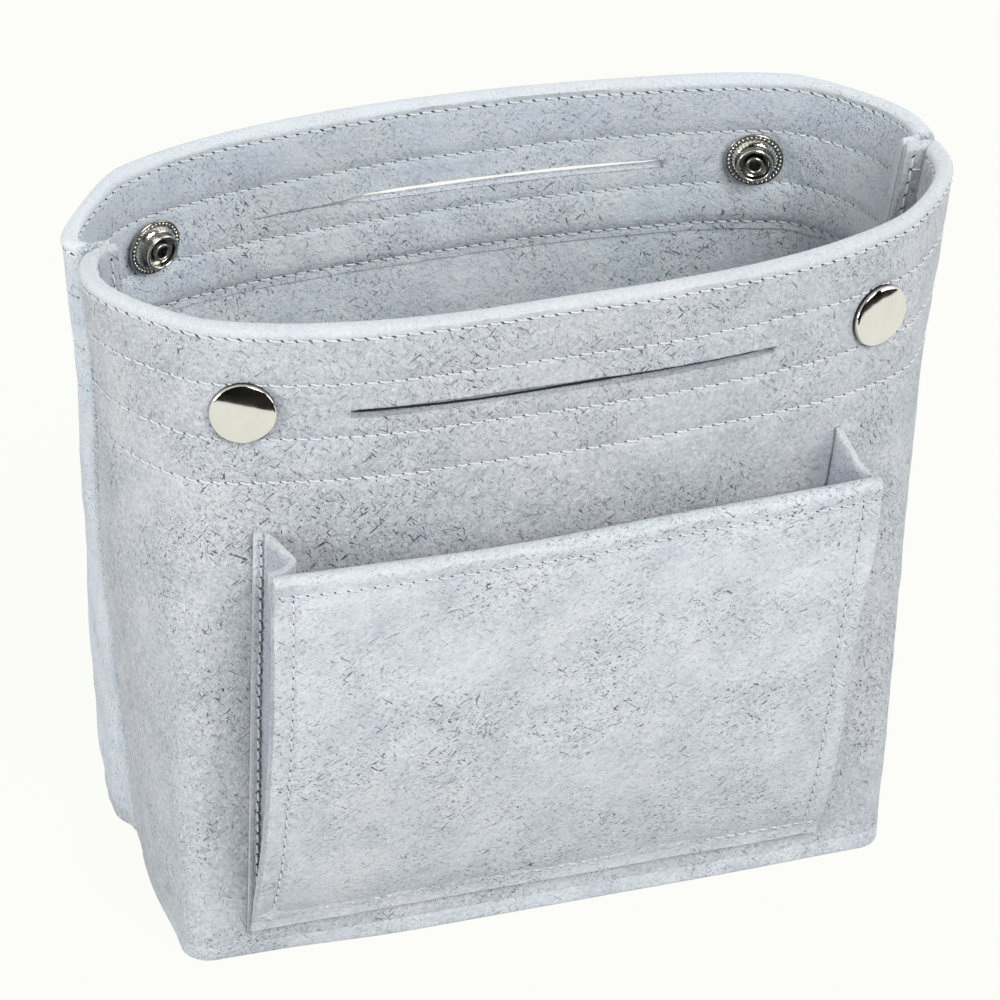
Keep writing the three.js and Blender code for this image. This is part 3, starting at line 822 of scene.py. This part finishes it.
        # Painted shade: a dark groove along each seam where the halves meet, darker higher up, and a dark line in the
        # tub at each tab's bend.
        lead = (1.0, 1.7) if self.face == "front" else (0.7, 1.5)
        deep = np.where(self.outward == 0, 0.6, 0.35 + 0.6 * smooth(90, 135, self.z))
        groove = outer * deep[:, None] * hump(lead, (2.2, 2.8), PAST)
        tab = smooth(1.5, 2.5, PAST)
        rim = smooth(HEIGHT - 3.2, HEIGHT - 1.5, self.z)[:, None] * (1 - 0.4 * tab) * (1 - groove)
        cut = groove + inner * 0.8 * hump((0.6, 1.25), (1.75, 2.0), PAST)
        # The slit's edge rows take the painted shade of the gap between its lips.
        for row, edge_darkness in zip(self.slit_rows, SLIT_SHADE[self.face][0]):
            cut[row, inside] = edge_darkness
        # Painted shade on the seam tabs.
        painted_shade = (self.outward != 0)[:, None] * 0.45 * smooth(1.6, 2.3, PAST)
        # Painted shade on the back's inner hem band, and a painted shadow beside the right pleat on the front wall's
        # outside.
        if self.face == "back":
            shade = 0.34 * inner * smooth(138, 150, self.z)[:, None]
        else:
            beside = hump((52, 61), (61.5, 63), self.grid[..., 0]) * hump((78, 96), (111, 119), self.grid[..., 2])
            shade = 0.75 * beside * (self.outward > 0)[:, None]
        return {"rim": rim, "cut": cut, "painted_shade": np.maximum(painted_shade, shade)}

    def build(self):
        ids, inside = self.ids()
        points, faces = self.slit(ids, inside)
        faces = self.faces(ids, inside) + faces
        everything = np.concatenate([self.grid.reshape(-1, 3), points])
        used = np.unique([i for face in faces for i in face])
        renumber = np.full(len(everything), -1)
        renumber[used] = np.arange(len(used))
        faces = [tuple(int(renumber[i]) for i in face) for face in faces]
        more = dict.fromkeys(("rim", "painted_shade"), np.zeros(len(points)))
        more["cut"] = np.tile(np.repeat(SLIT_SHADE[self.face][1], np.count_nonzero(inside)), 2)
        looks = {key: np.concatenate([value.ravel(), more[key]])[used] for key, value in self.looks(inside).items()}
        return add_mesh(f"{self.face}_felt", everything[used], faces, WALL_MATS[self.face], **looks)

    def stitch_lines(self):
        """Points, normals and slant of each stitch row, outside and inside."""
        rows = []
        for level in STITCH_ROWS:
            at = int(np.argmin(np.abs(self.levels - level)))
            for row, away in ((at, self.out), (self.rows - 1 - at, -self.out)):
                line = self.grid[row, MAIN]
                normal = unit(np.cross(np.gradient(line, axis=0), (0, 0, 1))) * away
                rows.append((line, normal, (0, 0, 0.2)))
        return rows

    def seam_lines(self):
        """The row that joins the halves at each end, on the tab's face in the tub, and a tack at the front right."""
        inner = self.grid[-len(self.levels):][::-1]
        out = np.array([0, -1.0 * self.out, 0])
        rows = []
        for column in (SEAM_COLUMN, len(SHARE) - 1 - SEAM_COLUMN):
            edge = inner[:, column]
            line = along_line(np.linspace(*SEAM_ROW), edge[:, 2], edge)
            rows.append((line, out, (0.12, 0, 0)))
        if self.face == "front":
            tack = inner[int(np.argmin(np.abs(self.levels - TACK_LEVEL))), -4:-1]
            rows.append((tack + 0.15 * out, out, (0, 0, 0)))
        return rows


END_LIES = (  # at the left and the right end
    (-0.14, 1.06),  # the rim's shift along x
    (-1.7, 0.8),  # the belly's
    (0.24, 0.19),  # share by which the rim is narrower
    (0.24, 0.62),  # how far it is further to the front
    (0.4, 0.5),  # and lower
)


def settled(points):
    """The way the photographed felt stands: rim ends narrower than drawn, end walls bellied, the left seam awry."""
    x, y, z = (points[..., i] for i in range(3))
    far = np.abs(x)
    left = x < 0
    end = smooth(77, 98, far) * (z / HEIGHT) ** 1.5
    belly = smooth(45, 85, far) * hump((0, 55), (85, 133), z)
    # The left end's foot: its back corner drawn in, both halves bulged out
    toe = 1.5 * smooth(26, 34, y) * (1 - smooth(2, 16, z))
    toe = toe - (1.9 * bell(y, -12, 12) + 1.1 * bell(y, 19, 5.5)) * (1 - smooth(4, 50, z))
    toe = toe * left * smooth(55, 78, far)
    # The left seam: further back, most at its foot, and drawn in at the rim
    ended = left * smooth(60, 80, far)
    low = 1 - smooth(0, 70, z)
    drift = (3.8 + 6.9 * low) * ended * bell(y, 0, 10 + 4 * low)
    notch = 3.7 * ended * smooth(70, 158, z) * bell(y, 0, 5.5)
    # The base's front edge: forward in the middle, back on the left
    bulge = 0.6 * (1 - smooth(40, 80, far)) - 1.4 * left * smooth(30, 62, far)
    bulge = bulge * np.clip(1 - z / 8, 0, 1) ** 2 * (y < -30)
    shift, swell, narrow, near, drop = (np.where(left, *lie) for lie in END_LIES)
    return np.stack([
        x + shift * end + swell * belly + toe + notch,
        y * (1 - narrow * end) - near * end - bulge + drift,
        z - drop * end,
    ], axis=-1)


def blended(face):
    """Returns a call that bakes a piece's placement into its mesh; the start and run worked out here are not used."""
    start, run = ((0, 0, HEIGHT), (0, -34, 1.7)) if face == "front" else ((0, 5.5, HEIGHT), (0, 32, 1.6))
    start = Vector(start) * MM
    return lambda piece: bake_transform(piece)


def make_walls():
    for face, seed in (("front", 11), ("back", 23)):
        wall = Wall(face, seed)
        felt = wall.build()
        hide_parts(f"{face}_panel", f"left_side_{face}", f"right_side_{face}")
        blended(face)(felt)
        sewn = sew(f"{face}_hem", wall.stitch_lines(), blended(face), seed)
        sewn += sew(f"{face}_seam", wall.seam_lines(), blended(face), seed + 1)


# The base

BASE_INNER_FOLD = 0.4  # radius
BASE_DENT = np.array([[1.0, -3.4], [2.2, -1.5]])  # points drawn in from the end, and their y
FLOOR_BANDS = 16


def make_base():
    """The floor, with rounded folds up to the walls and a dent at each end seam."""
    front = plan(SHARE[MAIN], np.zeros(len(MAIN)))
    front[:, 0] *= SIDE[MAIN]
    right = BASE_DENT * [-1, 1] + [BASE_HALF_LENGTH - SEAM_PINCH, 0]
    front = np.concatenate([right[::-1] * [-1, 1], front, right])
    ring = np.concatenate([front, front[::-1] * [1, -1]])
    inward = left_of(np.roll(ring, -1, 0) - np.roll(ring, 1, 0))
    section = arc(FOLD_RADIUS, FOLD_RADIUS, FOLD_RADIUS, 270, 180)
    section += [(0, WALL_FOOT), (0.6, WALL_FOOT + 1.5), (1.4, WALL_FOOT + 1.5), (FELT, WALL_FOOT)]
    section += arc(FELT + BASE_INNER_FOLD, FELT + BASE_INNER_FOLD, BASE_INNER_FOLD, 180, 270)
    points = []
    for inset, z in section:
        points.extend(np.concatenate([ring + inward * inset, np.full((len(ring), 1), z)], axis=1))
    ids = grid_ids(len(section), len(ring))
    faces = quads(ids, closed=True)
    for level, relief in ((0, 0.0), (-1, 0.12)):
        faces.extend(floor_faces(points, ids[level].tolist(), relief))
    plain = np.zeros(len(points))
    base = add_mesh("base_felt", settled(np.array(points)), faces, FELT_MAT, rim=plain, cut=plain)
    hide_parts("base_panel")
    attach(base, "base")


def floor_faces(points, ring, relief):
    """A grid between the front and the back half of one ring, drawn in from its hollow ends."""
    count = len(ring) // 2
    front, back = ring[:count], ring[count:][::-1]
    rows = [front]
    reach = abs(points[front[0]][0]) - 0.4
    middles = np.linspace(-reach, reach, count)
    for b in range(1, FLOOR_BANDS):
        row = []
        bend = 1 - (2 * b / FLOOR_BANDS - 1) ** 2
        for f, r, middle in zip(front, back, middles):
            point = points[f] + (points[r] - points[f]) * b / FLOOR_BANDS
            point[0] += (middle - point[0]) * bend
            row.append(len(points))
            points.append(point + np.array([0, 0, relief * float(ripples(point[None], 24, 5)[0])]))
        rows.append(row)
    return quads(rows + [back])


# The pocket

def pocket_y(z):
    rise = np.clip((z - POCKET_SEAM) / (POCKET_TOP - POCKET_SEAM), 0, 1)
    return POCKET_SEAT - POCKET_STANDOFF * (1 - (1 - rise) ** 3)


def pocket_edge(side, z):
    """How far the pocket's edge is from its middle: on the right, narrower below its mouth."""
    if side == "right":
        return POCKET_HALF_WIDTH - 6.2 + 4.4 * smooth(62, 108, z)
    return np.full_like(z, POCKET_HALF_WIDTH - 1.5)


def pocket_pull(z):
    return POCKET_PULL * smooth(POCKET_PULL_FOOT, POCKET_TOP, z)


def pressed(z):
    """0 at the pocket's bottom edge, which is sewn down flat, and 1 where the felt has its full thickness."""
    return smooth(POCKET_BOTTOM, POCKET_BOTTOM + 14, z)


def pocket_grid(level, depth, outward, index):
    """The pocket's points, row by row, from each row's height, depth in the felt, side and count from the foot."""
    x = np.linspace(-POCKET_HALF_WIDTH, POCKET_HALF_WIDTH, POCKET_COLUMNS + 1)
    col = np.arange(len(x))[None]
    index = index[:, None]
    gx, gz = np.meshgrid(x, level)
    place = np.stack([gx, pocket_y(gz), gz], axis=-1)
    hole_col, hole_row = (np.where(marks % 2 == 1, 0.5, 0.22) for marks in (col, index))
    out = 0.3 * ripples(place, 50, 41) + 0.07 * ripples(place, 7, 42) + 0.035 * ripples(place, 3.2, 43)
    for marks, lines, hole in ((index, POCKET_STITCH_ROWS, hole_col), (col, POCKET_STITCH_COLUMNS, hole_row)):
        for line in lines:
            out = out - bell(marks, line, 0.62) * hole - 0.15 * bell(marks, line, 1.6)
    out = np.where(gz < POCKET_SEAM + 2, np.maximum(out, -0.25), out)
    y = pocket_y(gz) + depth[:, None] - outward[:, None] * out + 1.1 * (1 - pressed(gz))
    corner = smooth(58, POCKET_HALF_WIDTH, np.abs(gx)) * smooth(POCKET_PULL_FOOT, POCKET_TOP, gz)
    high = (gz / POCKET_TOP) ** 4
    bow = bell(gx, -18, 34) * high
    edge = np.where(gx < 0, pocket_edge("left", gz), pocket_edge("right", gz))
    return np.stack([
        gx * edge / POCKET_HALF_WIDTH,
        y + POCKET_PULL * corner - 1.0 * bow,
        gz - 0.9 * corner - 0.8 * bow + 0.5 * smooth(30, 65, gx) * high,
    ], axis=-1)


def make_pocket():
    """The pocket's front, with a rolled mouth, stitch grooves and rounded side edges."""
    z = np.linspace(POCKET_BOTTOM, POCKET_TOP - FELT, POCKET_ROWS + 1)
    inner = np.where(z > POCKET_HEM_FOOT, 2 * FELT, FELT) * (0.3 + 0.7 * pressed(z))
    level, depth, outward = folded(z, POCKET_TOP, inner)
    index = np.concatenate([np.arange(len(z)), np.full(len(ROLL_ANGLES), -9), np.arange(len(z))[::-1]])
    grid = pocket_grid(level, depth, outward, index)
    ends = [grid[:, 0].copy(), grid[:, -1].copy()]
    middle_y = pocket_y(level) + np.where(level > POCKET_HEM_FOOT, FELT, FELT / 2)
    for end in ends:
        end[:, 1] += (middle_y + pocket_pull(level) - end[:, 1]) * 0.3
    grid[:, 0, 0] += 0.25
    grid[:, -1, 0] -= 0.25
    full = np.concatenate([ends[0][:, None], grid, ends[1][:, None]], axis=1)
    ids = grid_ids(*full.shape[:2])
    faces = quads(ids, looped=True) + end_strips(ids)
    rim = np.repeat(smooth(POCKET_TOP - 2.6, POCKET_TOP - 1.0, level)[:, None], full.shape[1], 1)
    cut = np.zeros(ids.shape)
    cut[:, [0, -1]] = 0.5
    # Painted light on the two bottom rows, over the shadow of the ledge at the sewn-down foot.
    rim[[0, 1]] = 0.5
    pocket = add_mesh("pocket_felt", full.reshape(-1, 3), faces, POCKET_MAT, rim=rim * 0.4, cut=cut)
    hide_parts("pocket_front")
    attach(pocket, "pocket")
    outer = grid[: len(z)]
    facing = grid_normals(outer, np.array([0, 1.0, 0]))
    lines = [(outer[row, 1:-1], facing[row, 1:-1], (0, 0, 0.2)) for row in POCKET_STITCH_ROWS]
    up = slice(POCKET_STITCH_ROWS[0], -2)
    lines += [(outer[up, column], facing[up, column], (0.2, 0, 0)) for column in POCKET_STITCH_COLUMNS]
    sewn = sew("pocket", lines, lambda piece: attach(piece, "pocket"), 51, POCKET_THREAD_MAT)


def spline(keys, count):
    """A smooth cubic line through key points, with a straight start and end."""
    keys = np.asarray(keys, float)
    padded = np.concatenate([[2 * keys[0] - keys[1]], keys, [2 * keys[-1] - keys[-2]]])
    out = []
    for t in np.linspace(0, len(keys) - 1 - 1e-9, count):
        i = int(t)
        f = t - i
        a, b, c, d = padded[i:i + 4]
        curve = (2 * a - 5 * b + 4 * c - d) * f ** 2 + (3 * b - a - 3 * c + d) * f ** 3
        out.append(0.5 * (2 * b + (c - a) * f + curve))
    return np.array(out)


def pleat_ring(side, z):
    """A pleat's section in plan at a height, drawn on the right: its outer face and then back along the inner one."""
    foot = float(pocket_edge(side, z)) - 0.4
    level = np.array(min(z, POCKET_TOP - FELT))
    front = float(pocket_y(level) + pocket_pull(level)) + FELT
    front += FELT if level > POCKET_HEM_FOOT else 0
    wall = wall_y(FLANGE_AT, z)
    thick = PLEAT_FELT * min(1.0, max(0.2, (wall - front) / 3.8))
    lift = thick / 2 + 0.1
    near, far = wall - lift, front + lift
    nose = thick * 0.6
    if side == "left":
        fold = near + (far - near) * 0.6
        keys = [
            (69.4, wall_y(69.4, z) - lift),
            (67.4, wall_y(67.4, z) - lift),
            (66.0, near - 0.12 * (near - fold)),
            (63.2, fold + nose),
            (62.4, fold),
            (63.1, fold - nose),
            (min(65.8, foot - 2.2), far + 0.10 * (fold - far)),
            (foot, far),
        ]
    else:
        crease = 60.4 + 2.2 * float(smooth(90, 118, np.array(z)))
        reach = foot - crease
        keys = [
            (67.5, wall_y(67.5, z) - lift),
            (crease + 3.4, wall_y(crease + 3.4, z) - lift),
            (crease + 1.4, near - 0.05),
            (crease, near - nose),
            (crease + reach * 0.2, near + (far - near) * 0.45),
            (crease + reach * 0.5, near + (far - near) * 0.8),
            (crease + reach * 0.78, far + 0.02 * (near - far)),
            (foot, far),
        ]
    line = spline(keys, PLEAT_STEPS)
    out = left_of(np.gradient(line, axis=0)) * thick / 2
    return np.concatenate([line + out, (line - out)[::-1]])


def make_pleat(side):
    """A folded strip: a flange sewn to the wall, the bellows and an edge behind the pocket's front."""
    sign = 1 if side == "right" else -1
    samples = np.linspace(PLEAT_FOOT, PLEAT_HIGHEST, 60)
    drawn = np.array([pleat_ring(side, z) for z in samples])
    tops = PLEAT_TOPS[side]
    crest = np.interp(np.linspace(0, len(tops) - 1, PLEAT_STEPS), np.arange(len(tops)), tops)
    crest = np.concatenate([crest, crest[::-1]])
    height = PLEAT_FOOT + (crest - PLEAT_FOOT) * np.linspace(0, 1, PLEAT_LEVELS)[:, None]
    lines = [along_line(height[:, k], samples, drawn[:, k]) for k in range(len(crest))]
    rings = np.concatenate([np.stack(lines, axis=1) * [sign, 1], height[..., None]], axis=-1)
    rings[..., 1] += 0.05 * ripples(rings, 6, 61)
    ids = grid_ids(*rings.shape[:2])
    count = len(crest)
    faces = quads(ids, closed=True) + end_strips(ids.T)
    looks = {key: np.zeros(ids.shape) for key in ("rim", "cut", "painted_shade")}
    rim, cut, painted_shade = looks.values()
    # Pale raw edges with painted light on the left flange's end face and on the crest; dark lines of painted shade at
    # the creases and the far end face; painted shade on the leaf in the fold.
    if side == "left":
        rim[:, :2] = 0.9
        rim[-1] = 0.6
        cut[:, -1] = 1.0
        cut[:, 5:7] = 0.9
        painted_shade[:-1, 8:20] = 0.75
    else:
        rim[-1] = 0.7
        painted_shade[:-1, PLEAT_STEPS:count - 15] = 0.8
        cut[:, count - 15:count - 12] = 0.95
    pleat = add_mesh(f"pocket_{side}_pleat_felt", rings.reshape(-1, 3), faces, WALL_MATS["front"], **looks)
    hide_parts(f"pocket_{side}_pleat")
    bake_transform(pleat)
    flange = rings[2:-1, 4]
    if side == "right":
        flange = flange[flange[:, 2] < POCKET_TOP - 6]
    line = along_line(np.linspace(0, 1, FLANGE_POINTS), np.linspace(0, 1, len(flange)), flange)
    rows = [(line, (0, -1.0, 0), (0.15, 0, 0))]
    sewn = sew(f"pocket_{side}_flange", rows, lambda piece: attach(piece, "front_wall"), 71, POCKET_THREAD_MAT)


# The snaps

def circle(radius, height, angles):
    """Points round Z."""
    return np.stack([radius * np.cos(angles), radius * np.sin(angles), np.full(len(angles), height)], axis=1)


def rings_round(profile):
    """Rings of points round Z from pairs of radius and height, and their numbers."""
    points = [circle(r, h, around(TURNS)) for r, h in profile]
    return np.concatenate(points), grid_ids(len(profile), TURNS)


def turned(profile):
    """Points and faces of a body turned round Z, closed along the profile."""
    points, ids = rings_round(profile)
    return points, quads(ids, closed=True, looped=True)


BEAD = [(1.0, -0.35), (1.0, 0.0), (0.8, 0.6), (0.4, 0.92)]  # radius and height of a bead's rings


def beads(radius, height, count, size):
    """A ring of small half-round beads that hang from a height."""
    bead = np.concatenate([circle(r, -h, around(BEAD_SIDES)) for r, h in BEAD])
    points = np.concatenate([centre + size * bead for centre in circle(radius, height, around(count))])
    ids = np.arange(len(points)).reshape(count, len(BEAD), BEAD_SIDES)
    return points, [face for rings in ids for face in tube_faces(rings)]


def snap_piece(face, side, name, shape, material, slot, node=None):
    """Puts a turned shape on a snap's axis and lets it ride on its wall."""
    points, faces, *values = shape
    placed = np.array([SNAP @ Vector(p) for p in points])
    placed *= [-1 if side == "left" else 1, -1 if face == "back" else 1, 1]
    snap = f"{face}_{side}"
    piece = add_mesh(f"{snap}_{name}", placed, faces, material, METAL_SHARP, **(values[0] if values else {}))
    if node:
        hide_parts(f"{snap}_{node}")
    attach(piece, f"{face}_wall")


CAP_EDGE = [  # from the cap's radius and the felt, round the tucked edge
    (-0.9, 0.2), (-0.8, -0.55), (-0.4, -0.75), (-0.05, -0.5), (0, 0.0), (0, 0.3), (-0.05, 0.55), (-0.13, 0.74),
]
FLANGE = [(2.0, 0.0), (6.2, 0.0)]  # of a stud or a socket, on the felt


def cap_shape():
    """A low dome with a tucked edge, darkened where it meets the felt with painted shade and tarnish."""
    edge = [(CAP_RADIUS + r, h) for r, h in CAP_EDGE]
    crown = [(CAP_RADIUS * r, 0.78 + 1.3 * (1 - r ** 2)) for r in np.linspace(0.965, 0, 17)[:-1]]
    points, ids = rings_round([(0.02, 0.2)] + edge + crown + [(0.02, 2.08)])
    beyond = np.hypot(points[:, 0], points[:, 1]) - CAP_RADIUS
    return points, tube_faces(ids), {"grime": smooth(-0.3, -0.05, beyond) * (1 - smooth(0.1, 0.5, points[:, 2]))}


def stud_shape():
    """Flange, cone with fine ridges, barrel, rolled collar and a recess round the tube."""
    profile = FLANGE + arc(6.2, 0.45, 0.32, -70, 90, 6) + [(5.5, 0.62), (5.2, 0.7)]
    ridged = len(profile)
    profile += [(5.0, 0.95), (4.5, 1.45), (4.4, 1.7), (3.85, 1.85), (3.75, 2.3)]
    collar = len(profile)
    profile += arc(3.74, 3.25, 0.36, -80, 170, 10)
    recess = len(profile)
    profile += [(3.36, 3.0), (3.2, 2.35), (2.75, 2.0), (2.2, 1.9), (2.0, 1.2)]
    points, faces = turned([(r, SEAT - h) for r, h in profile])
    wear, grime = np.zeros((2, len(profile), TURNS))
    heights = points[:, 2].reshape(wear.shape)
    heights[ridged:ridged + 2, 1::2] -= 0.32
    wear[ridged:ridged + 2, 1::2] = 1.0
    wear[collar:recess] = 0.8
    wear[recess:recess + 3] = 0.45
    # Painted shade and tarnish in the recess round the tube.
    grime[recess + 3:] = 0.6
    return points, faces, {"wear": wear, "grime": grime}


def tube_shape(reach):
    """The post's tube, with its far end rolled over."""
    profile = [(1.3, 0.4), (1.3, SEAT - reach + 0.5)]
    profile += arc(1.72, SEAT - reach + 0.5, 0.42, 180, 360, 8)
    profile += [(1.95, SEAT - reach + 1.2), (1.9, 0.4)]
    return turned(profile)


def socket_shape():
    """Flange and cup, with a lip rolled in over the spring."""
    profile = FLANGE + arc(6.2, 0.45, 0.32, -70, 90, 6) + [(5.9, 0.7), (5.5, 1.2), (5.4, 3.2)]
    profile += arc(5.0, 3.7, 0.5, 0, 120, 6)
    profile += [(4.3, 4.05), (4.05, 3.8), (4.1, 3.5), (5.0, 3.3), (5.0, 0.6), (2.0, 0.6)]
    return turned([(r, SEAT - h) for r, h in profile])


def spring_shape():
    """The split ring of wire in a socket."""
    angle = np.linspace(0.25, 2 * math.pi - 0.25, 60)
    path = circle(4.3, SEAT - 2.6, angle)[None]
    return tubes(path, np.broadcast_to([0, 0, 1.0], path.shape), 0.4)


def make_snaps():
    for face in ("front", "back"):
        reach = 3.6 if face == "back" else 1.5
        pieces = [
            ("cap_dome", cap_shape(), NICKEL, "nickel", "cap"),
            ("tube", tube_shape(reach), DULL_NICKEL, "nickel_tube", "post"),
        ]
        if face == "back":
            pieces.append(("stud_body", stud_shape(), DARK_NICKEL, "nickel", "stud"))
            pieces.append(("stud_beads", beads(5.8, SEAT - 0.68, 36, 0.33), NICKEL, "nickel"))
        else:
            pieces.append(("socket_cup", socket_shape(), NICKEL, "nickel", "socket"))
            pieces.append(("spring_wire", spring_shape(), DULL_NICKEL, "nickel_tube", "ring_spring"))
        for side in ("left", "right"):
            for piece in pieces:
                snap_piece(face, side, *piece)


# Camera, light and floor

TARGET = Vector((0.31, 0, 83.7)) * MM
DISTANCE = 1.435
YAW, PITCH, ROLL = (math.radians(a) for a in (20.38, 32.76, 2.26))
FOCAL_PIXELS = 6496
FRAME_PIXELS = 1000
SENSOR = 36
WHITE = (0.995, 1.0, 0.955, 1)  # of the floor and the room, where they are seen directly
AIM = Vector((0, 0, 0.08))
LIGHTS = {  # place, size and power
    "key": ((0.45, -1.66, 1.69), 1.2, 44),
    "left": ((-2.0, -0.45, 0.34), 0.62, 26),
    "right": ((1.8, -0.9, 0.6), 0.9, 8),
    "back": ((0.5, 1.7, 1.3), 1.4, 23),
}


def make_camera():
    data = bpy.data.cameras.new("camera")
    data.sensor_width = SENSOR
    data.lens = FOCAL_PIXELS * SENSOR / FRAME_PIXELS
    data.clip_start, data.clip_end = 0.05, 50
    camera = linked("camera", data)
    aimed = Matrix.Rotation(-YAW, 4, "Z") @ Matrix.Rotation(math.pi / 2 - PITCH, 4, "X")
    aimed = aimed @ Matrix.Rotation(ROLL, 4, "Z")
    camera.matrix_world = Matrix.Translation(TARGET) @ aimed @ Matrix.Translation((0, 0, DISTANCE))
    bpy.context.scene.camera = camera


def make_lights():
    for name, (place, size, power) in LIGHTS.items():
        data = bpy.data.lights.new(name, "AREA")
        data.size = size
        data.energy = power
        light = linked(name, data)
        light.location = place
        light.rotation_euler = (AIM - Vector(place)).to_track_quat("-Z", "Y").to_euler()


def make_world():
    world = bpy.data.worlds.new("studio")
    world.use_nodes = True
    bpy.context.scene.world = world
    nodes = Nodes(world.node_tree)
    ambient = nodes.tree.nodes["Background"]
    ambient.inputs["Color"].default_value = (0.88, 0.96, 1.0, 1)
    ambient.inputs["Strength"].default_value = 0.29
    white = nodes.node("Background", {"Color": WHITE})
    nodes.end(nodes.seen_directly(), ambient, white, "World Output")


def add_plane(name, corners, material):
    data = bpy.data.meshes.new(name)
    data.from_pydata(corners, [], [tuple(range(len(corners)))])
    data.materials.append(material)
    plane = linked(name, data)
    return plane


def make_floor():
    paint = Paint("pale_floor")
    paint.set(Base_Color=(0.50, 0.51, 0.51, 1), Roughness=0.9, Specular_IOR_Level=0.05)
    glow = paint.node("Emission", {"Color": WHITE})
    paint.end(paint.times(paint.seen_directly(), 0.96), paint.shader, glow, "Material Output")
    reach = 8
    add_plane("floor", [(-reach, -reach, 0), (reach, -reach, 0), (reach, reach, 0), (-reach, reach, 0)], paint.material)


CARD_EDGE = [  # of the card's flat part, from left to right
    (-4, -0.40), (-0.60, -0.40), (-0.48, -0.57), (-0.30, -0.585), (-0.125, -0.50), (0.0, -0.357), (0.09, -0.305),
    (0.174, -0.307), (0.30, -0.485), (0.576, -0.685), (0.93, -0.70), (0.80, -0.22), (4.2, -0.22),
]


def make_dark_card():
    """The dark room in front of the white floor, seen only as the reflection in the upper part of the caps."""
    paint = Paint("dark_card")
    paint.set(Base_Color=(0.02, 0.018, 0.016, 1), Roughness=1.0, Specular_IOR_Level=0.0)
    far, low, high = -2.2, 0.002, 9
    left, right = CARD_EDGE[0][0], CARD_EDGE[-1][0]
    flat = [(x, y, low) for x, y in CARD_EDGE + [(right, far), (left, far)]]
    upright = [(left, far, low), (right, far, low), (right, far, high), (left, far, high)]
    for name, corners in (("dark_card_flat", flat), ("dark_card_upright", upright)):
        card = add_plane(name, corners, paint.material)
        for rays in ("camera", "diffuse", "shadow", "transmission"):
            setattr(card, f"visible_{rays}", False)


make_camera()
make_walls()
make_base()
make_pocket()
for side in ("left", "right"):
    make_pleat(side)
make_snaps()
make_world()
make_floor()
make_dark_card()
make_lights()
bpy.context.scene.view_settings.view_transform = "Standard"
